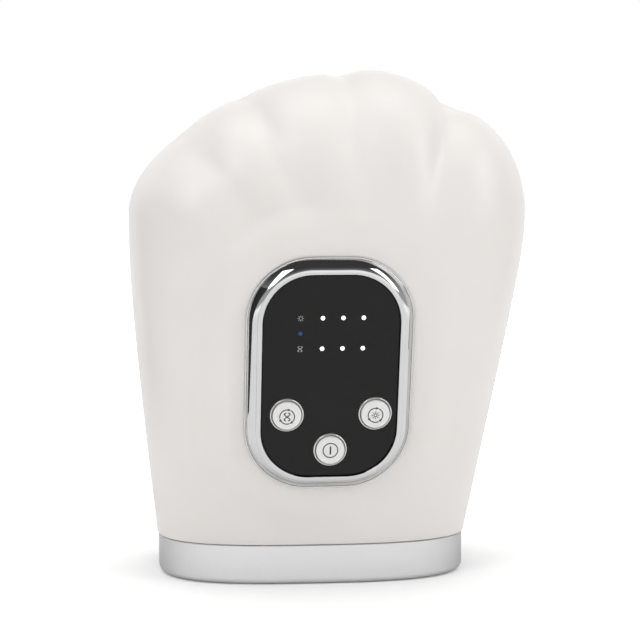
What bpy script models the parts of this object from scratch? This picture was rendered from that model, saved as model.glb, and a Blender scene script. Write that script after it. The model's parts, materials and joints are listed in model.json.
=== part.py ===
"""Hand massager with a mitten-shaped shell, standing on its wrist collar.

Metres, +Z up. The wrist opening faces down, the control panel faces -Y, and the palm side faces +Y.
The origin is on the floor, under the middle of the whole massager.
"""

import functools
import math

import bmesh
import bpy
import numpy as np
from mathutils import Matrix, Vector

# Clearances and cuts
FIT = 0.0003
RUNNING_FIT = 0.0004
OVERRUN = 0.004
FUSE = 0.0008
ROUND_SIDES = 20
SMALL_SIDES = 12
NODULE_SIDES = 8
DRIVE_SIDES = 6

# Body outline, seen from the front
HALF_WIDTH = 0.0768
WIDEST_Z = 0.140
CROWN_HEIGHT = 0.05663
CUFF_LEFT_SHARE = 0.866
CUFF_LEFT = HALF_WIDTH * CUFF_LEFT_SHARE
CUFF_RIGHT_SHARE = 0.7266
CUFF_RIGHT = HALF_WIDTH * CUFF_RIGHT_SHARE
LEFT_BEND = 0.39
RIGHT_BEND = 0.1
# Points of the rounded end as shares of HALF_WIDTH and CROWN_HEIGHT, from the thumb side to the little finger
CROWN_SHARES = (
    (1.0, 0.0),
    (0.976, 0.349),
    (0.815, 0.639),
    (0.599, 0.829),
    (0.463, 0.937),
    (0.264, 1.009),
    (0.056, 1.009),
    (-0.123, 0.956),
    (-0.333, 0.903),
    (-0.539, 0.75),
    (-0.682, 0.633),
    (-0.832, 0.463),
    (-0.937, 0.309),
    (-1.0, 0.0),
)
CROWN_WAVES = 8
CROWN_END_WEIGHT = 100.0

# Body depth, seen from the side
FRONT_DEPTH = 0.0512
BACK_DEPTH = 0.0502
CUFF_FRONT = 0.0272
FRONT_BEND = 0.2
FRONT_SQUARENESS = 2.9
BACK_SQUARENESS = 4.5
CROWN_SQUARENESS = 2.2
WALL = 0.0026
PARTING_Y = 0.008

# Finger ridges: valleys fan out from one point in the front view
FAN_X = 0.0195
FAN_Z = 0.075
VALLEY_ANGLES = (-38.9, -25.1, -6.4, 15.0)
VALLEY_DEPTHS = (0.0025, 0.0047, 0.0051, 0.0077)
VALLEY_WIDTH = 0.0059
VALLEY_ROUND = 0.0015
VALLEY_SOFTNESS = 0.0050
VALLEY_FRONT_DEPTHS = (0.0050, 0.0062, 0.0062, 0.0077)
VALLEY_SOFT_Y = -0.030
RIDGE_START = 0.050
RIDGE_FULL = 0.098
RIDGE_FRONT_Y = -0.006
RIDGE_BACK_Y = 0.026

# Wrist collar and mouth
COLLAR_HEIGHT = 0.0152
COLLAR_WALL = 0.0026
COLLAR_INSET = 0.0005
COLLAR_ROLL = 0.0024
COLLAR_RIM = 0.0014
MOUTH_WALL = 0.0020
MOUTH_LIFT = 0.0014

# Hand cavity
CAVITY_FRONT = 0.012
CAVITY_BACK_ROOM = 0.0102
CAVITY_BACK = BACK_DEPTH - CAVITY_BACK_ROOM
CAVITY_SIDE_ROOM = 0.0105
CAVITY_WIDEST_Z = 0.125
CAVITY_END = 0.040
CAVITY_SQUARENESS = 3.8
CAVITY_WALL = 0.0020
TRAY_DEPTH = 0.010
TRAY_Y = CAVITY_BACK - TRAY_DEPTH

# Control panel, in its own frame: X right, Y up along the panel, Z out of it
PANEL_X = -0.00273
PANEL_Z = 0.08272
PANEL_TILT = 11.0
PANEL_TURN = 3.0
LAND_INSET = 0.0010
LAND_MARGIN = 0.0045
LAND_BLEND = 0.014
FASCIA_HALF_WIDTH = 0.02533
FASCIA_HALF_HEIGHT = 0.0387
FASCIA_RADIUS = 0.0182
FASCIA_THICKNESS = 0.0020
FASCIA_BELOW_LIP = 0.0008
BEZEL_WIDTH = 0.0058
BEZEL_HEIGHT = 0.0045
BEZEL_LIP = 0.0019
OPENING_LEDGE = 0.0030
CARRIER_THICKNESS = 0.0015
CARRIER_LIP = 0.0028
CARRIER_FLANGE = 0.0022
GASKET_WIDTH = 0.0015

# Buttons
BUTTON_RADIUS = 0.0054
BUTTON_PROUD = 0.0016
BUTTON_TRAVEL = 0.0005
BUTTON_FLANGE = 0.0006
BUTTON_FLANGE_THICKNESS = 0.0005
BUTTON_DISH = 0.0002
BUTTON_SPREAD = 0.01659
BUTTON_SHIFT = 0.00063
BUTTON_ROW = -0.01444
POWER_ROW = -0.02834
RING_WIDTH = 0.00065
RING_HEIGHT = 0.0006
STEM_RADIUS = 0.0017
SWITCH_SIZE = 0.0062
SWITCH_HEIGHT = 0.0034
SWITCH_BORE_ROOM = 0.0011

# Status lights
LIGHT_RADIUS = 0.0008
LIGHT_PITCH = 0.00759
LIGHT_FIRST_COLUMN = -0.00341
LIGHT_TOP_ROW = 0.02255
LIGHT_LOW_ROW = 0.01089
LIGHT_SIDE_COLUMN = -0.01161
LIGHT_PROUD = 0.0001
GUIDE_THICKNESS = 0.0012
GUIDE_BORDER = 0.0026
GUIDE_DROP = 0.0037
LED_WIDTH = 0.0016
LED_HEIGHT = 0.0007

# Boards
BOARD_THICKNESS = 0.0016
CONTROL_BOARD_DEPTH = 0.0080
CONTROL_BOARD_HALF_WIDTH = 0.0292
CONTROL_BOARD_HALF_HEIGHT = 0.0355
CARRIER_POST_X = 0.0262
CARRIER_POST_Y = 0.0290
CARRIER_POST_RADIUS = 0.0022
STAKE_RADIUS = 0.0011
MAIN_BOARD_WIDTH = 0.060
MAIN_BOARD_HEIGHT = 0.052
MAIN_BOARD_RIGHT_SHARE = 0.285
MAIN_BOARD_X = HALF_WIDTH * MAIN_BOARD_RIGHT_SHARE - MAIN_BOARD_WIDTH / 2
MAIN_BOARD_Z = 0.086
HEADER_WIDTH = 0.016
HEADER_THICKNESS = 0.005
CHIP_SIZE = 0.010
CHIP_HEIGHT = 0.0016
COIL_SIZE = 0.008
COIL_HEIGHT = 0.005
SOCKET_WIDTH = 0.007
SOCKET_DEPTH = 0.004

# Chassis plate between the hand cavity and the front
CHASSIS_THICKNESS = 0.0018
CHASSIS_BOTTOM = 0.024
CHASSIS_TOP = 0.172
# Corners as shares of HALF_WIDTH across and of the plate's own height
CHASSIS_SHARES = (
    (-0.60, 0.0),
    (0.50, 0.0),
    (0.66, 0.32),
    (0.74, 0.65),
    (0.70, 0.88),
    (0.52, 1.0),
    (-0.44, 1.0),
    (-0.66, 0.88),
    (-0.70, 0.65),
    (-0.66, 0.32),
)
STANDOFF_HEIGHT = 0.0019
STANDOFF_RADIUS = 0.0025
CHASSIS_BOSS_RADIUS = 0.0034
# Places of the low and the top pair of screws across, as shares of HALF_WIDTH
CHASSIS_SCREW_LOW_SHARES = (-0.57, 0.492)
CHASSIS_SCREW_TOP_SHARES = (-0.622, 0.531)
CHASSIS_SCREW_LOW_Z = 0.034
CHASSIS_SCREW_TOP_Z = 0.1135
CHASSIS_SCREW_LENGTH = 0.009

# Screws
SCREW_RADIUS = 0.00125
SCREW_HOLE_RADIUS = 0.0016
SCREW_HEAD_RADIUS = 0.0026
SCREW_HEAD_HEIGHT = 0.0012
DRIVE_RADIUS = 0.0011
DRIVE_DEPTH = 0.0006

# Shell posts
POST_RADIUS = 0.0037
POST_LOW_Z = 0.060
POST_TOP_Z = 0.128
POST_SEAT = 0.008
POST_SCREW_LENGTH = 0.018
COUNTERBORE_RADIUS = 0.0030

# Feet and tray posts on the palm side
FOOT_RADIUS = 0.0062
FOOT_HEIGHT = 0.0022
FOOT_PAD_RADIUS = 0.0072
FOOT_PAD_RISE = 0.0004
FOOT_SPREAD = 0.036
FOOT_LOW_Z = 0.027
FOOT_TOP_Z = 0.138
TRAY_POST_RADIUS = 0.0035
TRAY_POST_SPREAD = 0.020
VENT_COUNT = 5
VENT_WIDTH = 0.0016
VENT_LENGTH = 0.018
VENT_PITCH = 0.0045
VENT_Z = 0.104

# Soft parts of the hand cavity
PAD_HALF_WIDTH = 0.033
PAD_BOTTOM = 0.022
PAD_TOP = 0.136
PAD_THICKNESS = 0.003
NODULE_RADIUS = 0.0036
NODULE_RISE = 0.0022
NODULE_COLUMNS = 3
NODULE_ROWS = 5
NODULE_PITCH_X = 0.018
NODULE_PITCH_Z = 0.020
NODULE_FIRST_Z = 0.042
CELL_SETBACK = 0.0018
CELL_THICKNESS = 0.0042
CELL_BEVEL = 0.0014
FILM_THICKNESS = 0.0004
LINING_THICKNESS = 0.0020

# Battery
BATTERY_RADIUS = 0.0092
BATTERY_LENGTH_SHARE = 0.8446
BATTERY_LENGTH = HALF_WIDTH * BATTERY_LENGTH_SHARE
BATTERY_TIP_RADIUS = 0.003
BATTERY_TIP = 0.0006
BATTERY_LEFT_SHARE = -0.662
BATTERY_LEFT = HALF_WIDTH * BATTERY_LEFT_SHARE
BATTERY_LOW_Z = 0.1305
BATTERY_PITCH = 0.0194
HOLDER_WALL = 0.0015
HOLDER_CHEEK = 0.012

# Pump
PUMP_LEFT_SHARE = 0.246
PUMP_LEFT = HALF_WIDTH * PUMP_LEFT_SHARE
PUMP_Z = 0.146
HEAD_RADIUS = 0.011
HEAD_LENGTH_SHARE = 0.2137
HEAD_LENGTH = HALF_WIDTH * HEAD_LENGTH_SHARE
HEAD_BORE_RADIUS = 0.008
HEAD_END_WALL = 0.0045
HEAD_BORE_DEPTH = HEAD_LENGTH - HEAD_END_WALL
MOTOR_RADIUS = 0.009
MOTOR_LENGTH_SHARE = 0.285
MOTOR_LENGTH = HALF_WIDTH * MOTOR_LENGTH_SHARE
MOTOR_BORE_DEPTH = MOTOR_LENGTH / 2
SHAFT_RADIUS = 0.001
CRANK_RADIUS = 0.004
CRANK_THICKNESS = 0.004
CRANK_OFFSET = 0.002
CRANK_PIN_RADIUS = 0.0012
CRANK_PIN_LENGTH = 0.003
SADDLE_THICKNESS = 0.0015
SADDLE_LENGTH = 0.016
SADDLE_CHEEK = 0.007

# Air path
MANIFOLD_SHARES = (0.285, 0.7)
MANIFOLD_BOTTOM = 0.119
MANIFOLD_HEIGHT = 0.008
VALVE_WIDTH = 0.012
VALVE_HEIGHT = 0.019
VALVE_SHARE = 0.55
VALVE_X = HALF_WIDTH * VALVE_SHARE
VALVE_LOW_Z = 0.064
VALVE_TOP_Z = 0.087
PLUNGER_RADIUS = 0.0017
PLUNGER_LENGTH = 0.0115
PLUNGER_PROUD = 0.0015
PLUNGER_TRAVEL = 0.0012
PLUNGER_ROOM = 0.0018
HOSE_RADIUS = 0.0019
HOSE_HOLE_RADIUS = 0.0026
HOSE_BEND = 0.006
HOSE_ROOM = 0.004
HOSE_PORT_X = VALVE_X - VALVE_WIDTH / 2 - HOSE_BEND - HOSE_ROOM
HOSE_PORT_Z = 0.094

# Charging inlet on the thumb side
PORT_Z = 0.032
PORT_Y = 0.020
PORT_WIDTH = 0.0090
PORT_HEIGHT = 0.0036
PORT_DEPTH = 0.0070
PORT_RECESS = 0.0006
PORT_WALL = 0.0005
PORT_MOUTH_DEPTH = 0.0050
CHARGE_BOARD_WIDTH = 0.013
CHARGE_BOARD_THICKNESS = 0.0012
SHELF_THICKNESS = 0.0016

# Wires
WIRE_RADIUS = 0.0008

# Grids of the shells: cells across, from front to back, up the sleeve and around the rounded end
FRONT_GRID = (20, 6, 12, 5)
BACK_GRID = (10, 6, 7, 4)
CAVITY_GRID = (10, 5, 5, 4)
LOOP_POINTS = 36
# How near a cut may pass a corner of the cage before it uses it, as a share of half the cage
CAGE_CUT_SHARE = 0.000001
CORNER_POINTS = 5

SHELL_BASE = COLLAR_HEIGHT + FIT

PARTS = None
CUTTERS = None
MATERIALS = {}


def smooth(t):
    t = min(max(t, 0.0), 1.0)
    return t * t * (3.0 - 2.0 * t)


# Scene, materials and objects


def clear_scene():
    for old in list(bpy.data.objects):
        bpy.data.objects.remove(old, do_unlink=True)


def new_collection(name):
    made = bpy.data.collections.new(name)
    bpy.context.scene.collection.children.link(made)
    return made


def material(name, colour, roughness, metallic=0.0):
    made = bpy.data.materials.new(name)
    made.use_nodes = True
    shader = made.node_tree.nodes["Principled BSDF"]
    shader.inputs["Base Color"].default_value = (*colour, 1.0)
    shader.inputs["Roughness"].default_value = roughness
    shader.inputs["Metallic"].default_value = metallic
    made.diffuse_color = (*colour, 1.0)
    MATERIALS[name] = made


def make_materials():
    material("pearl_white", (0.73, 0.70, 0.68), 0.35)
    material("silver_paint", (0.53, 0.53, 0.53), 0.3, 0.7)
    material("chrome", (0.62, 0.62, 0.62), 0.12, 1.0)
    material("black_gloss", (0.022, 0.022, 0.021), 0.1)
    material("button_silver", (0.60, 0.60, 0.60), 0.3, 0.6)
    material("light_white", (0.85, 0.87, 0.90), 0.3)
    material("grey_plastic", (0.30, 0.30, 0.31), 0.5)
    material("black_plastic", (0.03, 0.03, 0.03), 0.5)
    material("liner_fabric", (0.16, 0.16, 0.17), 0.9)
    material("air_cell_film", (0.55, 0.57, 0.60), 0.5)
    material("heater_orange", (0.55, 0.25, 0.05), 0.4)
    material("silicone", (0.10, 0.10, 0.11), 0.7)
    material("board_green", (0.02, 0.16, 0.06), 0.4)
    material("steel", (0.55, 0.55, 0.56), 0.3, 1.0)
    material("battery_blue", (0.05, 0.12, 0.32), 0.35)
    material("foam", (0.08, 0.08, 0.08), 0.95)
    material("wire_red", (0.45, 0.03, 0.03), 0.5)


def set_up(thing, look, parent=None, cutter=False):
    """Puts a new object in its collection with its material and parent."""
    (CUTTERS if cutter else PARTS).objects.link(thing)
    if parent is not None:
        thing.parent = parent
    if cutter:
        thing.hide_render = True
        thing.display_type = "WIRE"
    else:
        thing.data.materials.append(MATERIALS[look])
    return thing


def solid(name, shape, look, parent=None, place=None, cutter=False, sharp=30.0):
    """Turns a bmesh into an object, smooth but for its sharp edges."""
    bmesh.ops.recalc_face_normals(shape, faces=shape.faces)
    mesh = bpy.data.meshes.new(name)
    shape.to_mesh(mesh)
    shape.free()
    mesh.shade_smooth()
    mesh.set_sharp_from_angle(angle=math.radians(sharp))
    thing = bpy.data.objects.new(name, mesh)
    if place is not None:
        thing.location = place
    return set_up(thing, look, parent, cutter)


def combine(thing, shape, operation, parent=None):
    """Adds the closed shapes of a bmesh to an object, or cuts them out of it."""
    count = len(thing.modifiers)
    tool = solid(f"{thing.name}_{operation.lower()}_{count}", shape, None, parent, cutter=True)
    change = thing.modifiers.new(f"{operation.lower()}_{count}", "BOOLEAN")
    change.operation = operation
    change.object = tool
    change.solver = "EXACT"
    return tool


def add_box(shape, low, high):
    """A box between two opposite corners."""
    low, high = Vector(low), Vector(high)
    made = bmesh.ops.create_cube(shape, size=1.0)["verts"]
    bmesh.ops.scale(shape, vec=high - low, verts=made)
    bmesh.ops.translate(shape, vec=(low + high) / 2, verts=made)


def add_rod(shape, start, end, radius, end_radius=None, sides=ROUND_SIDES):
    """A round rod, or a cone, from one point to another."""
    start, end = Vector(start), Vector(end)
    along = end - start
    turn = along.to_track_quat("Z", "Y").to_matrix().to_4x4()
    bmesh.ops.create_cone(
        shape,
        cap_ends=True,
        segments=sides,
        radius1=radius,
        radius2=radius if end_radius is None else end_radius,
        depth=along.length,
        matrix=Matrix.Translation((start + end) / 2) @ turn,
    )


def box(name, low, high, look, parent=None, bevel=0.0):
    shape = bmesh.new()
    add_box(shape, low, high)
    thing = solid(name, shape, look, parent)
    if bevel:
        edge = thing.modifiers.new("rounded_edges", "BEVEL")
        edge.width = bevel
        edge.segments = 2
    return thing


def rounded_outline(half_width, half_height, radius):
    """Points of a rounded rectangle, counter-clockwise from the right."""
    radius = min(radius, half_width, half_height)
    points = []
    for quarter, (sx, sy) in enumerate(((1, 1), (-1, 1), (-1, -1), (1, -1))):
        for step in range(CORNER_POINTS + 1):
            angle = math.radians(90.0 * (quarter + step / CORNER_POINTS))
            points.append(
                (
                    sx * (half_width - radius) + radius * math.cos(angle),
                    sy * (half_height - radius) + radius * math.sin(angle),
                )
            )
    return points


def circle_outline(x, y, radius, sides=ROUND_SIDES):
    turns = [2.0 * math.pi * step / sides for step in range(sides)]
    return [(x + radius * math.cos(turn), y + radius * math.sin(turn)) for turn in turns]


def plate(name, outlines, bottom, top, look, parent=None, turn=None):
    """A flat plate with holes: the first outline is its edge, the others its holes."""
    curve = bpy.data.curves.new(name, "CURVE")
    curve.dimensions = "2D"
    curve.fill_mode = "BOTH"
    curve.extrude = (top - bottom) / 2
    for outline in outlines:
        spline = curve.splines.new("POLY")
        spline.points.add(len(outline) - 1)
        spline.use_cyclic_u = True
        for point, (x, y) in zip(spline.points, outline):
            point.co = (x, y, 0.0, 1.0)
    thing = bpy.data.objects.new(name, curve)
    if turn is not None:
        thing.matrix_basis = turn @ Matrix.Translation((0.0, 0.0, (top + bottom) / 2))
    else:
        thing.location = (0.0, 0.0, (top + bottom) / 2)
    return set_up(thing, look, parent)


def as_mesh(thing):
    """A mesh copy of a curve, in its place, so that Booleans can work on it."""
    bpy.context.view_layer.update()
    seen = thing.evaluated_get(bpy.context.evaluated_depsgraph_get())
    mesh = bpy.data.meshes.new_from_object(seen)
    welded = bmesh.new()
    welded.from_mesh(mesh)
    bmesh.ops.remove_doubles(welded, verts=welded.verts, dist=FIT / 100)
    bmesh.ops.recalc_face_normals(welded, faces=welded.faces)
    welded.to_mesh(mesh)
    welded.free()
    name, parent, world = thing.name, thing.parent, thing.matrix_world.copy()
    bpy.data.objects.remove(thing, do_unlink=True)
    mesh.name = name
    made = bpy.data.objects.new(name, mesh)
    PARTS.objects.link(made)
    made.parent = parent
    bpy.context.view_layer.update()
    made.matrix_world = world
    return made


def tube(name, points, radius, look):
    """A hose or wire along points, with flat ends."""
    curve = bpy.data.curves.new(name, "CURVE")
    curve.dimensions = "3D"
    curve.bevel_depth = radius
    curve.bevel_resolution = 1
    curve.use_fill_caps = True
    spline = curve.splines.new("POLY")
    spline.points.add(len(points) - 1)
    for point, at in zip(spline.points, points):
        point.co = (*at, 1.0)
    return set_up(bpy.data.objects.new(name, curve), look)


def flowing(points, steps=3):
    """Points along a smooth curve through the given ones."""
    points = [Vector(point) for point in points]
    ends = [2 * points[0] - points[1], *points, 2 * points[-1] - points[-2]]
    path = []
    for a, b, c, d in zip(ends, ends[1:], ends[2:], ends[3:]):
        for step in range(steps):
            t = step / steps
            bend = (2 * a - 5 * b + 4 * c - d) * t**2 + (3 * b - a - 3 * c + d) * t**3
            path.append((2 * b + (c - a) * t + bend) / 2)
    path.append(points[-1])
    return path


def turned(name, profile, place, look, parent=None, sides=ROUND_SIDES):
    """A solid of revolution about its own Z, its profile from the top middle round to the bottom middle."""
    mesh = bpy.data.meshes.new(name)
    points = [(radius, 0.0, z) for radius, z in profile]
    mesh.from_pydata(points, [(step, step + 1) for step in range(len(points) - 1)], [])
    thing = bpy.data.objects.new(name, mesh)
    thing.location = place
    set_up(thing, look, parent)
    spin = thing.modifiers.new("turn", "SCREW")
    spin.steps = sides
    spin.render_steps = sides
    spin.use_merge_vertices = True
    spin.merge_threshold = FIT / 100
    spin.use_smooth_shade = False
    return thing


# The mitten form


def eased(t, bend):
    """Runs from 0 to 1 with t: flat at first, then nearly straight."""
    return (math.hypot(t, bend) - bend) / (math.hypot(1.0, bend) - bend)


def body_section(z):
    """Distances from the origin's axis to the left, right, front and back of the body at height z."""
    t = min(max((WIDEST_Z - z) / (WIDEST_Z - SHELL_BASE), 0.0), 1.0)
    left = HALF_WIDTH - (HALF_WIDTH - CUFF_LEFT) * eased(t, LEFT_BEND)
    right = HALF_WIDTH - (HALF_WIDTH - CUFF_RIGHT) * eased(t, RIGHT_BEND)
    front = FRONT_DEPTH - (FRONT_DEPTH - CUFF_FRONT) * eased(t, FRONT_BEND)
    return left, right, front, BACK_DEPTH


def cavity_section(z):
    left, right, _, _ = body_section(z)
    return left - CAVITY_SIDE_ROOM, right - CAVITY_SIDE_ROOM, CAVITY_FRONT, CAVITY_BACK


def middle_and_half(section):
    left, right, front, back = section
    return (right - left) / 2, (back - front) / 2, (left + right) / 2, (front + back) / 2


@functools.cache
def crown_waves():
    """Cosine terms of the rounded end's radius, by angle from the thumb side, near CROWN_SHARES.

    The ends weigh more, so that the rounded end meets the sleeve.
    """
    places = [(x * HALF_WIDTH, z * CROWN_HEIGHT) for x, z in CROWN_SHARES]
    angles = [math.atan2(z, x) for x, z in places]
    rows = [[math.cos(wave * angle) for wave in range(CROWN_WAVES)] for angle in angles]
    radii = [math.hypot(x, z) for x, z in places]
    weights = np.ones(len(places))
    weights[[0, -1]] = CROWN_END_WEIGHT
    return np.linalg.lstsq(np.array(rows) * weights[:, None], np.array(radii) * weights, rcond=None)[0]


def body_reach(angle):
    return sum(float(term) * math.cos(wave * angle) for wave, term in enumerate(crown_waves()))


def cavity_reach(angle):
    _, _, half_width, _ = middle_and_half(cavity_section(CAVITY_WIDEST_Z))
    across = abs(math.cos(angle)) / half_width
    up = abs(math.sin(angle)) / CAVITY_END
    return (across**CROWN_SQUARENESS + up**CROWN_SQUARENESS) ** (-1.0 / CROWN_SQUARENESS)


def pod_point(at, section, base, widest, reach, front_power, back_power):
    """Carries a point of the unit cage to the form: z below 0 is the sleeve, above 0 the rounded end."""
    across, deep, up = at
    z = base + (up + 1.0) * (widest - base) if up < 0.0 else widest
    middle_x, middle_y, half_width, half_depth = middle_and_half(section(z))
    power = back_power if deep > 0.0 else front_power
    x = across * half_width
    y = deep * half_depth
    rise = 0.0
    limit = half_width
    if up > 0.0:
        rise = up * reach(math.pi / 2)
        angle = math.atan2(rise, x)
        limit = reach(angle)
        power += (CROWN_SQUARENESS - power) * math.sin(angle) ** 2
    outward = math.hypot(x, rise)
    size = ((outward / limit) ** power + (abs(y) / half_depth) ** power) ** (1.0 / power)
    return Vector((middle_x + x / size, middle_y + y / size, z + rise / size))


def ridge_depth(point):
    """How deep the valleys between the finger ridges are at a point of the body: rounder toward the front."""
    x = point.x - FAN_X
    z = point.z - FAN_Z
    radius = math.hypot(x, z)
    angle = math.degrees(math.atan2(x, z))
    fade = smooth((radius - RIDGE_START) / (RIDGE_FULL - RIDGE_START))
    fade *= 1.0 - smooth((point.y - RIDGE_FRONT_Y) / (RIDGE_BACK_Y - RIDGE_FRONT_Y))
    forward = smooth((point.y - RIDGE_FRONT_Y) / (VALLEY_SOFT_Y - RIDGE_FRONT_Y))
    rounding = VALLEY_ROUND + VALLEY_SOFTNESS * forward
    depth = 0.0
    for valley, edge, front in zip(VALLEY_ANGLES, VALLEY_DEPTHS, VALLEY_FRONT_DEPTHS):
        off = math.radians(angle - valley) * radius
        deep = edge + (front - edge) * forward
        depth += deep * math.exp((rounding - VALLEY_ROUND - math.hypot(off, rounding)) / VALLEY_WIDTH)
    return fade * depth


def panel_matrix():
    """The control panel's frame on the body."""
    turn, tilt = math.radians(PANEL_TURN), math.radians(PANEL_TILT)
    right = Vector((math.cos(turn), math.sin(turn), 0.0))
    out = Vector((math.sin(turn) * math.cos(tilt), -math.cos(turn) * math.cos(tilt), -math.sin(tilt)))
    up = out.cross(right)
    frame = Matrix((right, up, out)).transposed().to_4x4()
    frame.translation = Vector((PANEL_X, LAND_INSET - body_section(PANEL_Z)[2], PANEL_Z))
    return frame


def outside_outline(x, y, half_width, half_height, radius):
    """Distance from a rounded rectangle, zero inside it."""
    over_x = max(abs(x) - (half_width - radius), 0.0)
    over_y = max(abs(y) - (half_height - radius), 0.0)
    return max(math.hypot(over_x, over_y) - radius, 0.0)


def landed(point, panel, panel_inverse):
    """A point of the skin, drawn to the flat land under the panel where it is near it."""
    local = panel_inverse @ point
    if abs(local.z) >= FASCIA_HALF_WIDTH or point.y >= 0.0:
        return point
    grow = BEZEL_WIDTH + LAND_MARGIN
    away = outside_outline(
        local.x, local.y, FASCIA_HALF_WIDTH + grow, FASCIA_HALF_HEIGHT + grow, FASCIA_RADIUS + grow
    )
    local.z *= smooth(away / LAND_BLEND)
    return panel @ local


def body_point(at, panel, panel_inverse):
    """A cage point on the body's skin, with the finger ridges and the land under the panel."""
    point = pod_point(at, body_section, SHELL_BASE, WIDEST_Z, body_reach, FRONT_SQUARENESS, BACK_SQUARENESS)
    middle_x, middle_y, _, _ = middle_and_half(body_section(point.z))
    spine = Vector((middle_x, middle_y, min(point.z, WIDEST_Z)))
    inward = (spine - point).normalized()
    return landed(point + inward * ridge_depth(point), panel, panel_inverse)


def cage(grid):
    """A box from -1 to 1, open below, cut into a grid, with its middle level at 0."""
    across, deep, sleeve, end = grid
    shape = bmesh.new()
    bmesh.ops.create_cube(shape, size=2.0)
    shape.normal_update()
    bmesh.ops.delete(shape, geom=[face for face in shape.faces if face.normal.z < -0.5], context="FACES")
    cuts = [(0, 2.0 * step / across - 1.0) for step in range(1, across)]
    cuts += [(1, 2.0 * step / deep - 1.0) for step in range(1, deep)]
    cuts += [(2, step / sleeve - 1.0) for step in range(1, sleeve)]
    cuts += [(2, step / end) for step in range(end)]
    for axis, where in cuts:
        normal = Vector([float(axis == each) for each in range(3)])
        bmesh.ops.bisect_plane(
            shape,
            geom=shape.verts[:] + shape.edges[:] + shape.faces[:],
            plane_co=normal * where,
            plane_no=normal,
            dist=CAGE_CUT_SHARE,
        )
    return shape


def skin_object(name, shape, carry, look, wall):
    """An open skin with its wall inside it."""
    for corner in shape.verts:
        corner.co = carry(corner.co)
    thing = solid(name, shape, look)
    thickness = thing.modifiers.new("wall", "SOLIDIFY")
    thickness.thickness = wall
    thickness.offset = -1.0
    return thing


def section_loop(section, inset, z, front_power, back_power):
    """Points of a level loop, set in from a section by the same amount all round."""
    middle_x, middle_y, half_width, half_depth = middle_and_half(section)
    half_width -= inset
    half_depth -= inset
    points = []
    for step in range(LOOP_POINTS):
        angle = 2.0 * math.pi * step / LOOP_POINTS
        x, y = math.cos(angle), math.sin(angle)
        power = back_power if y > 0.0 else front_power
        size = (abs(x) ** power + abs(y) ** power) ** (1.0 / power)
        points.append(Vector((middle_x + half_width * x / size, middle_y + half_depth * y / size, z)))
    return points


def ring_of_loops(shape, loops):
    """A closed ring lofted through unlike loops of as many points, the last joined to the first."""
    rows = [[shape.verts.new(point) for point in loop] for loop in loops]
    for row, following in zip(rows, rows[1:] + rows[:1]):
        for step in range(len(row)):
            nearby = (step + 1) % len(row)
            shape.faces.new((row[step], row[nearby], following[nearby], following[step]))


# Shells and collar


def wall_point_y(x, z, front):
    """Y of the body's outer face at a place in the front view, on its front or its back."""
    middle_x, middle_y, half_width, half_depth = middle_and_half(body_section(z))
    power = FRONT_SQUARENESS if front else BACK_SQUARENESS
    share = max(1.0 - (abs(x - middle_x) / half_width) ** power, 0.0) ** (1.0 / power)
    return middle_y - half_depth * share if front else middle_y + half_depth * share


def shell_post_places():
    places = []
    for z in (POST_LOW_Z, POST_TOP_Z):
        middle_x, _, half_width, _ = middle_and_half(body_section(z))
        reach = half_width - WALL - FIT - POST_RADIUS
        places += [(middle_x - reach, z, -1), (middle_x + reach, z, 1)]
    return places


def chassis_screw_places():
    low = [(HALF_WIDTH * share, CHASSIS_SCREW_LOW_Z) for share in CHASSIS_SCREW_LOW_SHARES]
    return low + [(HALF_WIDTH * share, CHASSIS_SCREW_TOP_Z) for share in CHASSIS_SCREW_TOP_SHARES]


def chassis_front_y():
    return -CAVITY_FRONT - FIT - CHASSIS_THICKNESS


def half_shell(name, panel, front):
    """One shell: the skin with everything on the far side of the parting plane cut away."""
    inverse = panel.inverted()
    shape = cage(FRONT_GRID if front else BACK_GRID)
    shell = skin_object(name, shape, lambda at: body_point(at, panel, inverse), "pearl_white", WALL)
    keep_out = bmesh.new()
    reach = HALF_WIDTH + OVERRUN
    top = WIDEST_Z + CROWN_HEIGHT + OVERRUN
    if front:
        add_box(keep_out, (-reach, PARTING_Y - FIT / 2, -OVERRUN), (reach, BACK_DEPTH + OVERRUN, top))
    else:
        add_box(keep_out, (-reach, -FRONT_DEPTH - OVERRUN, -OVERRUN), (reach, PARTING_Y + FIT / 2, top))
    combine(shell, keep_out, "DIFFERENCE")
    return shell


def front_shell(panel, panel_axis):
    shell = half_shell("front_shell", panel, True)
    posts = bmesh.new()
    bores = bmesh.new()
    for x, z, side in shell_post_places():
        start = wall_point_y(x + side * POST_RADIUS, z, True) + WALL / 2
        add_rod(posts, (x, start, z), (x, PARTING_Y - FIT / 2, z), POST_RADIUS)
        bore_end = PARTING_Y + POST_SEAT - POST_SCREW_LENGTH - FIT
        add_rod(bores, (x, bore_end, z), (x, PARTING_Y + OVERRUN, z), SCREW_HOLE_RADIUS, sides=SMALL_SIDES)
    seat = chassis_front_y() - FIT
    for x, z in chassis_screw_places():
        outer_x = x + math.copysign(CHASSIS_BOSS_RADIUS, x)
        skin_point = landed(Vector((outer_x, wall_point_y(outer_x, z, True), z)), panel, panel.inverted())
        add_rod(posts, (x, skin_point.y + WALL / 2, z), (x, seat, z), CHASSIS_BOSS_RADIUS)
        bore_end = seat - CHASSIS_SCREW_LENGTH
        add_rod(bores, (x, bore_end, z), (x, seat + OVERRUN, z), SCREW_HOLE_RADIUS, sides=SMALL_SIDES)
    combine(shell, posts, "UNION")
    combine(shell, bores, "DIFFERENCE")
    outline = panel_outline(OPENING_LEDGE)
    opening = as_mesh(plate("panel_opening", [outline], -WALL - OVERRUN, OVERRUN, "pearl_white", panel_axis))
    PARTS.objects.unlink(opening)
    CUTTERS.objects.link(opening)
    opening.hide_render = True
    opening.display_type = "WIRE"
    cut = shell.modifiers.new("panel_opening", "BOOLEAN")
    cut.operation = "DIFFERENCE"
    cut.object = opening
    cut.solver = "EXACT"


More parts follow.
